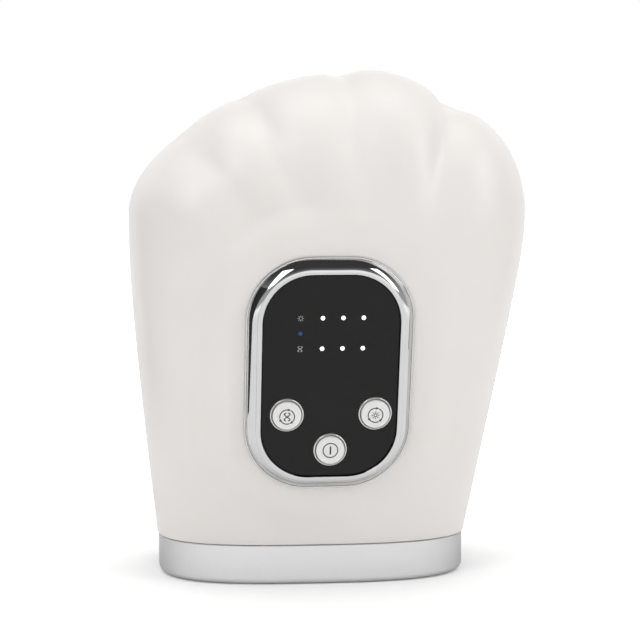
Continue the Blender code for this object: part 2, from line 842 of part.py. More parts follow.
def foot_places():
    places = []
    for z in (FOOT_LOW_Z, FOOT_TOP_Z):
        middle_x = middle_and_half(body_section(z))[0]
        places += [(middle_x - FOOT_SPREAD, z), (middle_x + FOOT_SPREAD, z)]
    return places


def port_face_x():
    """X of the outer face of the thumb side where the charging inlet is."""
    middle_x, middle_y, half_width, half_depth = middle_and_half(body_section(PORT_Z))
    share = (1.0 - (abs(PORT_Y - middle_y) / half_depth) ** BACK_SQUARENESS) ** (1.0 / BACK_SQUARENESS)
    return middle_x + half_width * share


def back_shell(panel):
    shell = half_shell("back_shell", panel, False)
    added = bmesh.new()
    inside = BACK_DEPTH - WALL
    for x, z, side in shell_post_places():
        end = wall_point_y(x + side * POST_RADIUS, z, False) - WALL / 2
        add_rod(added, (x, PARTING_Y + FIT / 2, z), (x, end, z), POST_RADIUS)
    for x, z in foot_places():
        add_rod(added, (x, inside, z), (x, BACK_DEPTH + FOOT_PAD_RISE, z), FOOT_PAD_RADIUS)
        post_x = x * TRAY_POST_SPREAD / FOOT_SPREAD
        add_rod(added, (post_x, CAVITY_BACK + FIT, z), (post_x, inside + WALL / 2, z), TRAY_POST_RADIUS)
    combine(shell, added, "UNION")
    wide = bmesh.new()
    narrow = bmesh.new()
    seat = PARTING_Y + POST_SEAT
    for x, z, _ in shell_post_places():
        start = PARTING_Y - OVERRUN
        add_rod(wide, (x, seat, z), (x, BACK_DEPTH + OVERRUN, z), COUNTERBORE_RADIUS, sides=SMALL_SIDES)
        add_rod(narrow, (x, start, z), (x, seat + OVERRUN, z), SCREW_HOLE_RADIUS, sides=SMALL_SIDES)
    for step in range(VENT_COUNT):
        z = VENT_Z + (step - (VENT_COUNT - 1) / 2) * VENT_PITCH
        low = (-VENT_LENGTH / 2, inside - WALL, z - VENT_WIDTH / 2)
        add_box(wide, low, (VENT_LENGTH / 2, BACK_DEPTH + OVERRUN, z + VENT_WIDTH / 2))
    face = port_face_x()
    half_slot = PORT_WIDTH / 2 + FIT
    half_high = PORT_HEIGHT / 2 + FIT
    low = (face - OVERRUN, PORT_Y - half_slot, PORT_Z - half_high)
    add_box(wide, low, (face + OVERRUN, PORT_Y + half_slot, PORT_Z + half_high))
    combine(shell, wide, "DIFFERENCE")
    combine(shell, narrow, "DIFFERENCE")
    shelf = bmesh.new()
    top = PORT_Z - PORT_HEIGHT / 2 - 2 * FIT - CHARGE_BOARD_THICKNESS
    half = CHARGE_BOARD_WIDTH / 2
    low = (face - PORT_RECESS - PORT_DEPTH, PORT_Y - half, top - SHELF_THICKNESS)
    add_box(shelf, low, (face - WALL / 2, PORT_Y + half, top))
    combine(shell, shelf, "UNION")


def wrist_collar():
    section = body_section(SHELL_BASE)
    inside = COLLAR_INSET + COLLAR_WALL
    rim = inside + COLLAR_RIM
    roll = COLLAR_ROLL
    levels = (
        (COLLAR_INSET, COLLAR_HEIGHT),
        (COLLAR_INSET, COLLAR_HEIGHT / 3),
        (COLLAR_INSET + 0.15 * roll, roll),
        (COLLAR_INSET + 0.5 * roll, 0.3 * roll),
        (COLLAR_INSET + roll, 0.0),
        (rim, 0.0),
        (rim, MOUTH_LIFT - FIT),
        (inside, 2 * MOUTH_LIFT),
        (inside, COLLAR_HEIGHT),
    )
    shape = bmesh.new()
    loops = [section_loop(section, inset, z, FRONT_SQUARENESS, BACK_SQUARENESS) for inset, z in levels]
    ring_of_loops(shape, loops)
    return solid("wrist_collar", shape, "silver_paint")


def mouth_ring():
    """The funnel from the collar's rim in to the hand cavity."""
    outer = body_section(SHELL_BASE)
    inner = cavity_section(SHELL_BASE)
    rim = COLLAR_INSET + COLLAR_WALL + COLLAR_RIM + FIT
    powers = (FRONT_SQUARENESS, BACK_SQUARENESS)
    square = (CAVITY_SQUARENESS, CAVITY_SQUARENESS)
    loops = (
        section_loop(outer, rim, MOUTH_LIFT, *powers),
        section_loop(inner, 0.0, COLLAR_HEIGHT, *square),
        section_loop(inner, MOUTH_WALL, COLLAR_HEIGHT, *square),
        section_loop(outer, rim + MOUTH_WALL, MOUTH_LIFT, *powers),
    )
    shape = bmesh.new()
    ring_of_loops(shape, loops)
    return solid("mouth_ring", shape, "grey_plastic")


# Hand cavity


def cavity_half(name, look, front):
    def carry(at):
        power = CAVITY_SQUARENESS
        return pod_point(at, cavity_section, SHELL_BASE, CAVITY_WIDEST_Z, cavity_reach, power, power)

    half = skin_object(name, cage(CAVITY_GRID), carry, look, CAVITY_WALL)
    away = bmesh.new()
    reach = HALF_WIDTH
    top = WIDEST_Z + CROWN_HEIGHT
    if front:
        add_box(away, (-reach, TRAY_Y - FIT / 2, 0.0), (reach, BACK_DEPTH, top))
    else:
        add_box(away, (-reach, -FRONT_DEPTH, 0.0), (reach, TRAY_Y + FIT / 2, top))
    combine(half, away, "DIFFERENCE")
    return half


def hand_cavity():
    arch = cavity_half("hand_arch", "grey_plastic", True)
    hole = bmesh.new()
    start = (HOSE_PORT_X, -CAVITY_FRONT - OVERRUN, HOSE_PORT_Z)
    end = (HOSE_PORT_X, -CAVITY_FRONT + CAVITY_WALL + OVERRUN, HOSE_PORT_Z)
    add_rod(hole, start, end, HOSE_HOLE_RADIUS, sides=SMALL_SIDES)
    combine(arch, hole, "DIFFERENCE")
    cavity_half("palm_tray", "grey_plastic", False)


def pad_outline(grow=0.0):
    """The soft pads' outline in the front view, round at the finger end."""
    middle_x = middle_and_half(cavity_section((PAD_BOTTOM + PAD_TOP) / 2))[0]
    half_width = PAD_HALF_WIDTH + grow
    half_height = (PAD_TOP - PAD_BOTTOM) / 2 + grow
    middle_z = (PAD_TOP + PAD_BOTTOM) / 2
    points = rounded_outline(half_width, half_height, half_width / 2)
    return [(middle_x + x, middle_z + y) for x, y in points]


def pad_plate(name, start, thickness, look, grow=0.0):
    """A flat soft layer of the cavity, from its front face toward the palm."""
    upright = Matrix.Rotation(math.radians(90.0), 4, "X")
    return plate(name, [pad_outline(grow)], -start - thickness, -start, look, turn=upright)


def soft_parts():
    cell_front = -CAVITY_FRONT + CAVITY_WALL + CELL_SETBACK
    cell = as_mesh(pad_plate("upper_air_cell", cell_front, CELL_THICKNESS, "air_cell_film"))
    edge = cell.modifiers.new("soft_edge", "BEVEL")
    edge.width = CELL_BEVEL
    edge.segments = 2
    edge.limit_method = "ANGLE"
    film_front = cell_front + CELL_THICKNESS + FIT
    pad_plate("heating_film", film_front, FILM_THICKNESS, "heater_orange", -FUSE)
    lining_front = film_front + FILM_THICKNESS + FIT
    pad_plate("upper_lining", lining_front, LINING_THICKNESS, "liner_fabric")
    face = CAVITY_BACK - CAVITY_WALL - CELL_SETBACK + FIT - PAD_THICKNESS
    pad = as_mesh(pad_plate("palm_pad", face, PAD_THICKNESS, "silicone"))
    nodules = bmesh.new()
    middle_x = middle_and_half(cavity_section((PAD_BOTTOM + PAD_TOP) / 2))[0]
    for column in range(NODULE_COLUMNS):
        for row in range(NODULE_ROWS):
            x = middle_x + (column - (NODULE_COLUMNS - 1) / 2) * NODULE_PITCH_X
            z = NODULE_FIRST_Z + row * NODULE_PITCH_Z
            tip = (x, face - NODULE_RISE, z)
            add_rod(nodules, (x, face + FUSE, z), tip, NODULE_RADIUS, NODULE_RADIUS / 2, NODULE_SIDES)
    combine(pad, nodules, "UNION")


# Control panel


def panel_outline(grow):
    return rounded_outline(FASCIA_HALF_WIDTH + grow, FASCIA_HALF_HEIGHT + grow, FASCIA_RADIUS + grow)


def button_places():
    return {
        "pressure": (BUTTON_SHIFT - BUTTON_SPREAD, BUTTON_ROW),
        "heat": (BUTTON_SHIFT + BUTTON_SPREAD, BUTTON_ROW),
        "power": (BUTTON_SHIFT, POWER_ROW),
    }


def light_places():
    places = [(LIGHT_SIDE_COLUMN, (LIGHT_TOP_ROW + LIGHT_LOW_ROW) / 2)]
    for row in (LIGHT_TOP_ROW, LIGHT_LOW_ROW):
        places += [(LIGHT_FIRST_COLUMN + column * LIGHT_PITCH, row) for column in range(3)]
    return places


def fascia_top():
    return BEZEL_HEIGHT - FASCIA_BELOW_LIP


def panel_bezel(axis):
    """The raised chrome ring: a sloping band outside and a narrow lip around the fascia."""
    grow = FIT
    width = BEZEL_WIDTH
    high = BEZEL_HEIGHT
    slope = width - BEZEL_LIP
    levels = (
        (grow + width, FIT),
        (grow + width, FIT + 0.16 * high),
        (grow + width - 0.35 * slope, 0.62 * high),
        (grow + BEZEL_LIP, 0.95 * high),
        (grow + 0.75 * BEZEL_LIP, high),
        (grow + 0.2 * BEZEL_LIP, high),
        (grow, 0.96 * high),
        (grow, FIT),
    )
    shape = bmesh.new()
    ring_of_loops(shape, [[Vector((x, y, z)) for x, y in panel_outline(out)] for out, z in levels])
    return solid("panel_bezel", shape, "chrome", axis)


def panel_fascia(axis):
    top = fascia_top()
    outlines = [panel_outline(0.0)]
    outlines += [circle_outline(x, y, BUTTON_RADIUS + FIT) for x, y in button_places().values()]
    outlines += [circle_outline(x, y, LIGHT_RADIUS + FIT, SMALL_SIDES) for x, y in light_places()]
    return plate("panel_fascia", outlines, top - FASCIA_THICKNESS, top, "black_gloss", axis)


def panel_gasket(axis):
    top = fascia_top() - FASCIA_THICKNESS - FIT
    outlines = [panel_outline(0.0), panel_outline(-GASKET_WIDTH)]
    return plate("panel_gasket", outlines, FIT, top, "foam", axis)


def panel_carrier(axis):
    """The frame behind the opening, with a flange under the shell and posts for the board."""
    under = -WALL - FIT
    shape = bmesh.new()
    rim = OPENING_LEDGE - FIT
    flange = rim + CARRIER_FLANGE
    inner = -CARRIER_LIP
    levels = (
        (rim, 0.0),
        (rim, under),
        (flange, under),
        (flange, under - CARRIER_THICKNESS),
        (inner, under - CARRIER_THICKNESS),
        (inner, 0.0),
    )
    ring_of_loops(shape, [[Vector((x, y, z)) for x, y in panel_outline(out)] for out, z in levels])
    carrier = solid("panel_carrier", shape, "black_plastic", axis)
    posts = bmesh.new()
    for x in (-CARRIER_POST_X, CARRIER_POST_X):
        for y in (-CARRIER_POST_Y, CARRIER_POST_Y):
            board = -CONTROL_BOARD_DEPTH
            add_rod(posts, (x, y, under - FUSE), (x, y, board + FIT), CARRIER_POST_RADIUS, sides=SMALL_SIDES)
    combine(carrier, posts, "UNION", axis)
    stakes = bmesh.new()
    for x in (-CARRIER_POST_X, CARRIER_POST_X):
        for y in (-CARRIER_POST_Y, CARRIER_POST_Y):
            end = -CONTROL_BOARD_DEPTH - BOARD_THICKNESS - FUSE
            add_rod(stakes, (x, y, under - FUSE), (x, y, end), STAKE_RADIUS, sides=SMALL_SIDES)
    combine(carrier, stakes, "UNION", axis)
    return carrier


def button(name, x, y, axis):
    """A cap with a retaining flange and a stem; its origin is at its switch axis on the fascia's face."""
    top = fascia_top() + BUTTON_PROUD
    flange_top = fascia_top() - FASCIA_THICKNESS - FIT
    switch_top = SWITCH_HEIGHT - CONTROL_BOARD_DEPTH
    profile = (
        (0.0, top - BUTTON_DISH),
        (BUTTON_RADIUS - RING_WIDTH, top),
        (BUTTON_RADIUS, top - RING_WIDTH / 2),
        (BUTTON_RADIUS, flange_top),
        (BUTTON_RADIUS + BUTTON_FLANGE, flange_top),
        (BUTTON_RADIUS + BUTTON_FLANGE, flange_top - BUTTON_FLANGE_THICKNESS),
        (STEM_RADIUS, flange_top - BUTTON_FLANGE_THICKNESS),
        (STEM_RADIUS, switch_top - FIT),
        (0.0, switch_top - FIT),
    )
    return turned(name, profile, (x, y, 0.0), "button_silver", axis)


def button_ring(name, x, y, axis):
    inner = BUTTON_RADIUS + FIT
    bottom = fascia_top() + FIT
    outlines = [circle_outline(x, y, inner + RING_WIDTH), circle_outline(x, y, inner)]
    return plate(name, outlines, bottom, bottom + RING_HEIGHT, "chrome", axis)


def tact_switch(name, x, y, axis):
    board = -CONTROL_BOARD_DEPTH + FIT
    top = SWITCH_HEIGHT - CONTROL_BOARD_DEPTH
    half = SWITCH_SIZE / 2
    shape = bmesh.new()
    add_box(shape, (x - half, y - half, board), (x + half, y + half, top))
    body = solid(name, shape, "black_plastic", axis)
    bore = bmesh.new()
    bore_end = top - FIT - BUTTON_TRAVEL - SWITCH_BORE_ROOM
    add_rod(bore, (x, y, bore_end), (x, y, top + OVERRUN), STEM_RADIUS + RUNNING_FIT, sides=SMALL_SIDES)
    combine(body, bore, "DIFFERENCE", axis)
    return body


def light_guide(axis):
    """One clear piece: rods that show in the fascia, a bar that joins them and legs on the board."""
    low_x = LIGHT_SIDE_COLUMN - GUIDE_BORDER
    high_x = LIGHT_FIRST_COLUMN + 2 * LIGHT_PITCH + GUIDE_BORDER
    low_y = LIGHT_LOW_ROW - GUIDE_BORDER
    high_y = LIGHT_TOP_ROW + GUIDE_BORDER
    bar_top = fascia_top() - FASCIA_THICKNESS - GUIDE_DROP
    shape = bmesh.new()
    add_box(shape, (low_x, low_y, bar_top - GUIDE_THICKNESS), (high_x, high_y, bar_top))
    guide = solid("light_guide", shape, "light_white", axis)
    rods = bmesh.new()
    rod_start = bar_top - FUSE
    for x, y in light_places():
        add_rod(rods, (x, y, rod_start), (x, y, fascia_top() + LIGHT_PROUD), LIGHT_RADIUS, sides=SMALL_SIDES)
    foot = -CONTROL_BOARD_DEPTH + FIT
    y = (low_y + high_y) / 2 - GUIDE_BORDER
    for x in (low_x + GUIDE_BORDER / 2, high_x - GUIDE_BORDER / 2):
        add_rod(rods, (x, y, foot), (x, y, rod_start), LIGHT_RADIUS, sides=SMALL_SIDES)
    combine(guide, rods, "UNION", axis)
    return guide


def control_board(axis):
    half_width = CONTROL_BOARD_HALF_WIDTH
    half_height = CONTROL_BOARD_HALF_HEIGHT
    front = -CONTROL_BOARD_DEPTH
    outlines = [rounded_outline(half_width, half_height, FASCIA_RADIUS / 2)]
    for x in (-CARRIER_POST_X, CARRIER_POST_X):
        for y in (-CARRIER_POST_Y, CARRIER_POST_Y):
            outlines.append(circle_outline(x, y, STAKE_RADIUS + FIT, SMALL_SIDES))
    board = as_mesh(plate("control_board", outlines, front - BOARD_THICKNESS, front, "board_green", axis))
    lamps = bmesh.new()
    for x, y in light_places():
        half = LED_WIDTH / 2
        add_box(lamps, (x - half, y - half / 2, front - FUSE), (x + half, y + half / 2, front + LED_HEIGHT))
    combine(board, lamps, "UNION", axis)
    return board


def control_panel(panel):
    axis = bpy.data.objects.new("panel_axis", None)
    PARTS.objects.link(axis)
    axis.matrix_world = panel
    bpy.context.view_layer.update()
    panel_bezel(axis)
    panel_fascia(axis)
    panel_gasket(axis)
    panel_carrier(axis)
    light_guide(axis)
    control_board(axis)
    for name, (x, y) in button_places().items():
        button(f"{name}_button", x, y, axis)
        button_ring(f"{name}_button_ring", x, y, axis)
        tact_switch(f"{name}_switch", x, y, axis)
    return axis


# Chassis, boards and battery


def chassis_plate():
    front = chassis_front_y()
    back = front + CHASSIS_THICKNESS
    tall = CHASSIS_TOP - CHASSIS_BOTTOM
    outline = [(x * HALF_WIDTH, CHASSIS_BOTTOM + z * tall) for x, z in CHASSIS_SHARES]
    outlines = [outline]
    outlines += [circle_outline(x, z, SCREW_HOLE_RADIUS, SMALL_SIDES) for x, z in chassis_screw_places()]
    outlines.append(circle_outline(HOSE_PORT_X, HOSE_PORT_Z, HOSE_HOLE_RADIUS, SMALL_SIDES))
    upright = Matrix.Rotation(math.radians(90.0), 4, "X")
    chassis = as_mesh(plate("chassis_plate", outlines, -back, -front, "grey_plastic", turn=upright))
    standoffs = bmesh.new()
    for x, z in main_board_corners():
        end = (x, front - STANDOFF_HEIGHT, z)
        add_rod(standoffs, (x, front + FUSE, z), end, STANDOFF_RADIUS, sides=SMALL_SIDES)
    combine(chassis, standoffs, "UNION")


def main_board_corners():
    half_x = MAIN_BOARD_WIDTH / 2 - STANDOFF_RADIUS
    half_z = MAIN_BOARD_HEIGHT / 2 - STANDOFF_RADIUS
    return [(MAIN_BOARD_X + sx * half_x, MAIN_BOARD_Z + sz * half_z) for sx in (-1, 1) for sz in (-1, 1)]


def main_board_back():
    return chassis_front_y() - STANDOFF_HEIGHT - FIT


def main_board(panel):
    back = main_board_back()
    front = back - BOARD_THICKNESS
    half_x = MAIN_BOARD_WIDTH / 2
    half_z = MAIN_BOARD_HEIGHT / 2
    board = box(
        "main_board",
        (MAIN_BOARD_X - half_x, front, MAIN_BOARD_Z - half_z),
        (MAIN_BOARD_X + half_x, back, MAIN_BOARD_Z + half_z),
        "board_green",
    )
    parts = bmesh.new()
    inside = front + FUSE
    chip = CHIP_SIZE / 2
    x, z = MAIN_BOARD_X - half_x / 2, MAIN_BOARD_Z + half_z / 2
    add_box(parts, (x - chip, front - CHIP_HEIGHT, z - chip), (x + chip, inside, z + chip))
    coil = COIL_SIZE / 2
    x, z = MAIN_BOARD_X + half_x / 2, MAIN_BOARD_Z + half_z / 2
    add_box(parts, (x - coil, front - COIL_HEIGHT, z - coil), (x + coil, inside, z + coil))
    x, z = MAIN_BOARD_X - half_x / 2, MAIN_BOARD_Z - half_z / 2
    add_rod(parts, (x, inside, z), (x, front - COIL_HEIGHT, z), coil, sides=SMALL_SIDES)
    x, z = MAIN_BOARD_X + half_x / 2, MAIN_BOARD_Z - half_z / 2
    socket = SOCKET_WIDTH / 2
    add_box(parts, (x - socket, front - SOCKET_DEPTH, z - socket), (x + socket, inside, z + socket))
    board_back = panel @ Vector((0.0, 0.0, -CONTROL_BOARD_DEPTH - BOARD_THICKNESS))
    half = HEADER_WIDTH / 2
    thick = HEADER_THICKNESS / 2
    tilt = math.tan(math.radians(PANEL_TILT)) * thick + math.tan(math.radians(PANEL_TURN)) * half
    low = (board_back.x - half, board_back.y + tilt + FIT, board_back.z - thick)
    add_box(parts, low, (board_back.x + half, inside, board_back.z + thick))
    combine(board, parts, "UNION")


def battery(chassis_front):
    low_y = chassis_front - FIT - HOLDER_WALL
    middle_y = low_y - FIT - BATTERY_RADIUS
    left = BATTERY_LEFT
    right = left + BATTERY_LENGTH
    for name, z in (("battery_cell_low", BATTERY_LOW_Z), ("battery_cell_top", BATTERY_LOW_Z + BATTERY_PITCH)):
        profile = (
            (0.0, BATTERY_LENGTH),
            (BATTERY_TIP_RADIUS, BATTERY_LENGTH),
            (BATTERY_TIP_RADIUS, BATTERY_LENGTH - BATTERY_TIP),
            (BATTERY_RADIUS, BATTERY_LENGTH - BATTERY_TIP),
            (BATTERY_RADIUS, 0.0),
            (0.0, 0.0),
        )
        cell = turned(name, profile, (left, middle_y, z), "battery_blue")
        cell.rotation_euler = (0.0, math.radians(90.0), 0.0)
    bottom = BATTERY_LOW_Z - BATTERY_RADIUS
    top = BATTERY_LOW_Z + BATTERY_PITCH + BATTERY_RADIUS
    low_x = left - FIT - HOLDER_WALL
    high_x = right + FIT + HOLDER_WALL
    back_corner = (high_x, chassis_front - FIT, top)
    holder = box("battery_holder", (low_x, low_y, bottom), back_corner, "black_plastic")
    cheeks = bmesh.new()
    add_box(cheeks, (low_x, low_y - HOLDER_CHEEK, bottom), (left - FIT, low_y + FUSE, top))
    add_box(cheeks, (right + FIT, low_y - HOLDER_CHEEK, bottom), (high_x, low_y + FUSE, top))
    combine(holder, cheeks, "UNION")


# Pump, valves and hoses


def pump_middle_y():
    return chassis_front_y() - CHASSIS_THICKNESS - HEAD_RADIUS


def air_line_y():
    """Y of the middle of the manifold, the valves and the hoses between them."""
    return chassis_front_y() - FIT - VALVE_WIDTH / 2


def pump():
    y, z = pump_middle_y(), PUMP_Z
    head_right = PUMP_LEFT + HEAD_LENGTH
    motor_left = head_right + FIT
    motor_right = motor_left + MOTOR_LENGTH

    shape = bmesh.new()
    add_rod(shape, (PUMP_LEFT, y, z), (head_right, y, z), HEAD_RADIUS)
    head = solid("pump_head", shape, "black_plastic")
    nozzle = bmesh.new()
    x = PUMP_LEFT + HEAD_LENGTH / 2
    nozzle_y = air_line_y()
    under = math.sqrt(HEAD_RADIUS**2 - (nozzle_y - y) ** 2)
    nozzle_end = (x, nozzle_y, z - HEAD_RADIUS - HOSE_RADIUS)
    add_rod(nozzle, (x, nozzle_y, z - under + FUSE), nozzle_end, HOSE_RADIUS, sides=SMALL_SIDES)
    combine(head, nozzle, "UNION")
    bore = bmesh.new()
    add_rod(bore, (head_right - HEAD_BORE_DEPTH, y, z), (head_right + OVERRUN, y, z), HEAD_BORE_RADIUS)
    combine(head, bore, "DIFFERENCE")

    shape = bmesh.new()
    add_rod(shape, (motor_left, y, z), (motor_right, y, z), MOTOR_RADIUS)
    motor = solid("pump_motor", shape, "steel")
    bore = bmesh.new()
    bore_end = motor_left + MOTOR_BORE_DEPTH
    bore_radius = SHAFT_RADIUS + RUNNING_FIT
    add_rod(bore, (motor_left - OVERRUN, y, z), (bore_end, y, z), bore_radius, sides=SMALL_SIDES)
    combine(motor, bore, "DIFFERENCE")

    crank_right = head_right - HEAD_BORE_DEPTH / 4
    crank_left = crank_right - CRANK_THICKNESS
    shape = bmesh.new()
    add_rod(shape, (crank_left - motor_left, 0.0, 0.0), (crank_right - motor_left, 0.0, 0.0), CRANK_RADIUS)
    rotor = solid("pump_rotor", shape, "steel", place=(motor_left, y, z))
    added = bmesh.new()
    shaft_end = (bore_end - RUNNING_FIT, y, z)
    add_rod(added, (crank_right - FUSE, y, z), shaft_end, SHAFT_RADIUS, sides=SMALL_SIDES)
    pin = z + CRANK_OFFSET
    pin_end = (crank_left - CRANK_PIN_LENGTH, y, pin)
    add_rod(added, pin_end, (crank_left + FUSE, y, pin), CRANK_PIN_RADIUS, sides=SMALL_SIDES)
    combine(rotor, added, "UNION")

    base_back = chassis_front_y() - FIT
    base_front = base_back - SADDLE_THICKNESS
    low_x = motor_left + (MOTOR_LENGTH - SADDLE_LENGTH) / 2
    high_x = low_x + SADDLE_LENGTH
    inner = MOTOR_RADIUS + FIT
    outer = inner + SADDLE_THICKNESS
    bracket = box("pump_bracket", (low_x, base_front, z - outer), (high_x, base_back, z + outer), "steel")
    cheeks = bmesh.new()
    for low, high in ((-outer, -inner), (inner, outer)):
        add_box(cheeks, (low_x, y - SADDLE_CHEEK + inner / 2, z + low), (high_x, base_front + FUSE, z + high))
    combine(bracket, cheeks, "UNION")


def air_manifold():
    back = chassis_front_y() - FIT
    top = MANIFOLD_BOTTOM + MANIFOLD_HEIGHT
    return box(
        "air_manifold",
        (HALF_WIDTH * MANIFOLD_SHARES[0], back - VALVE_WIDTH, MANIFOLD_BOTTOM),
        (HALF_WIDTH * MANIFOLD_SHARES[1], back, top),
        "grey_plastic",
        bevel=FUSE,
    )


def valve(name, bottom):
    """A solenoid valve: its plunger slides up into the body."""
    back = chassis_front_y() - FIT
    half = VALVE_WIDTH / 2
    y = back - half
    top_corner = (VALVE_X + half, back, bottom + VALVE_HEIGHT)
    body = box(f"{name}_valve", (VALVE_X - half, y - half, bottom), top_corner, "steel")
    bore = bmesh.new()
    bore_radius = PLUNGER_RADIUS + RUNNING_FIT
    bore_end = bottom + PLUNGER_LENGTH - PLUNGER_PROUD + PLUNGER_TRAVEL + PLUNGER_ROOM
    add_rod(bore, (VALVE_X, y, bottom - OVERRUN), (VALVE_X, y, bore_end), bore_radius, sides=SMALL_SIDES)
    combine(body, bore, "DIFFERENCE")
    shape = bmesh.new()
    add_rod(shape, (0.0, 0.0, 0.0), (0.0, 0.0, PLUNGER_LENGTH), PLUNGER_RADIUS, sides=SMALL_SIDES)
    solid(f"{name}_valve_plunger", shape, "steel", place=(VALVE_X, y, bottom - PLUNGER_PROUD))


def hoses():
    back = chassis_front_y() - FIT
    y = air_line_y()
    top = MANIFOLD_BOTTOM + MANIFOLD_HEIGHT
    nozzle_x = PUMP_LEFT + HEAD_LENGTH / 2
    nozzle_end = PUMP_Z - HEAD_RADIUS - HOSE_RADIUS
    tube("pump_hose", [(nozzle_x, y, nozzle_end - FIT), (nozzle_x, y, top + FIT)], HOSE_RADIUS, "silicone")
    right = VALVE_X + VALVE_WIDTH / 2 - HOSE_RADIUS
    valve_top = VALVE_TOP_Z + VALVE_HEIGHT
    inflate = [(right, y, MANIFOLD_BOTTOM - FIT), (right, y, valve_top + FIT)]
    tube("inflate_hose", inflate, HOSE_RADIUS, "silicone")
    valve_left = VALVE_X - VALVE_WIDTH / 2
    down_x = valve_left - HOSE_BEND
    low_z = VALVE_LOW_Z + VALVE_HEIGHT / 2
    tube("release_hose", flowing((
        (down_x, y, MANIFOLD_BOTTOM - FIT),
        (down_x, y, low_z + HOSE_BEND),
        (valve_left - HOSE_BEND * 0.75, y, low_z + HOSE_BEND * 0.25),
        (valve_left - HOSE_RADIUS, y, low_z),
        (valve_left - FIT, y, low_z),
    )), HOSE_RADIUS, "silicone")
    cell_front = -CAVITY_FRONT + CAVITY_WALL + CELL_SETBACK
    low = VALVE_TOP_Z + 2 * HOSE_RADIUS
    front_y = y - 2.2 * HOSE_RADIUS
    tube("cell_hose", flowing((
        (valve_left - FIT, front_y, low),
        (valve_left - HOSE_RADIUS, front_y, low),
        (HOSE_PORT_X + HOSE_BEND / 2, front_y, low + HOSE_RADIUS / 2),
        (HOSE_PORT_X, y - HOSE_RADIUS, HOSE_PORT_Z),
        (HOSE_PORT_X, back, HOSE_PORT_Z),
        (HOSE_PORT_X, cell_front - FIT, HOSE_PORT_Z),
    )), HOSE_RADIUS, "silicone")


# Charging inlet


def charging_inlet():
    outer = port_face_x() - PORT_RECESS
    inner = outer - PORT_DEPTH
    half_y = PORT_WIDTH / 2
    half_z = PORT_HEIGHT / 2
    low = (inner, PORT_Y - half_y, PORT_Z - half_z)
    high = (outer, PORT_Y + half_y, PORT_Z + half_z)
    port = box("charge_port", low, high, "steel", bevel=PORT_HEIGHT / 4)
    mouth = bmesh.new()
    low = (outer - PORT_MOUTH_DEPTH, PORT_Y - half_y + PORT_WALL, PORT_Z - half_z + PORT_WALL)
    high = (outer + OVERRUN, PORT_Y + half_y - PORT_WALL, PORT_Z + half_z - PORT_WALL)
    add_box(mouth, low, high)
    combine(port, mouth, "DIFFERENCE")
    top = PORT_Z - half_z - FIT
    half = CHARGE_BOARD_WIDTH / 2
    right = port_face_x() - 1.5 * WALL - 2 * FIT
    low = (inner, PORT_Y - half + FIT, top - CHARGE_BOARD_THICKNESS)
    box("charge_board", low, (right, PORT_Y + half - FIT, top), "board_green")


# Screws, feet and wires


def screw(name, x, y, z, length, forward):
    """A pan-head screw at the face under its head, its shank toward -Y when forward is -1."""
    shape = bmesh.new()
    head = -forward * SCREW_HEAD_HEIGHT
    add_rod(shape, (0.0, 0.0, 0.0), (0.0, head, 0.0), SCREW_HEAD_RADIUS, sides=SMALL_SIDES)
    made = solid(name, shape, "steel", place=(x, y, z))
    shank = bmesh.new()
    add_rod(shank, (x, y + head / 2, z), (x, y + forward * length, z), SCREW_RADIUS, sides=SMALL_SIDES)
    combine(made, shank, "UNION")
    drive = bmesh.new()
    slot_end = (x, y + head - forward * OVERRUN, z)
    add_rod(drive, (x, y + head + forward * DRIVE_DEPTH, z), slot_end, DRIVE_RADIUS, sides=DRIVE_SIDES)
    combine(made, drive, "DIFFERENCE")


def fasteners():
    seat = PARTING_Y + POST_SEAT + FIT
    for number, (x, z, _) in enumerate(shell_post_places(), start=1):
        screw(f"shell_screw_{number}", x, seat, z, POST_SCREW_LENGTH, -1)
    back = chassis_front_y() + CHASSIS_THICKNESS + FIT
    for number, (x, z) in enumerate(chassis_screw_places(), start=1):
        screw(f"chassis_screw_{number}", x, back, z, CHASSIS_SCREW_LENGTH, -1)


def feet():
    bottom = BACK_DEPTH + FOOT_PAD_RISE + FIT
    for number, (x, z) in enumerate(foot_places(), start=1):
        profile = (
            (0.0, FOOT_HEIGHT),
            (FOOT_RADIUS - FOOT_HEIGHT / 3, FOOT_HEIGHT),
            (FOOT_RADIUS, 2 * FOOT_HEIGHT / 3),
            (FOOT_RADIUS, 0.0),
            (0.0, 0.0),
        )
        foot = turned(f"rubber_foot_{number}", profile, (x, bottom, z), "silicone", sides=SMALL_SIDES)
        foot.rotation_euler = (math.radians(-90.0), 0.0, 0.0)


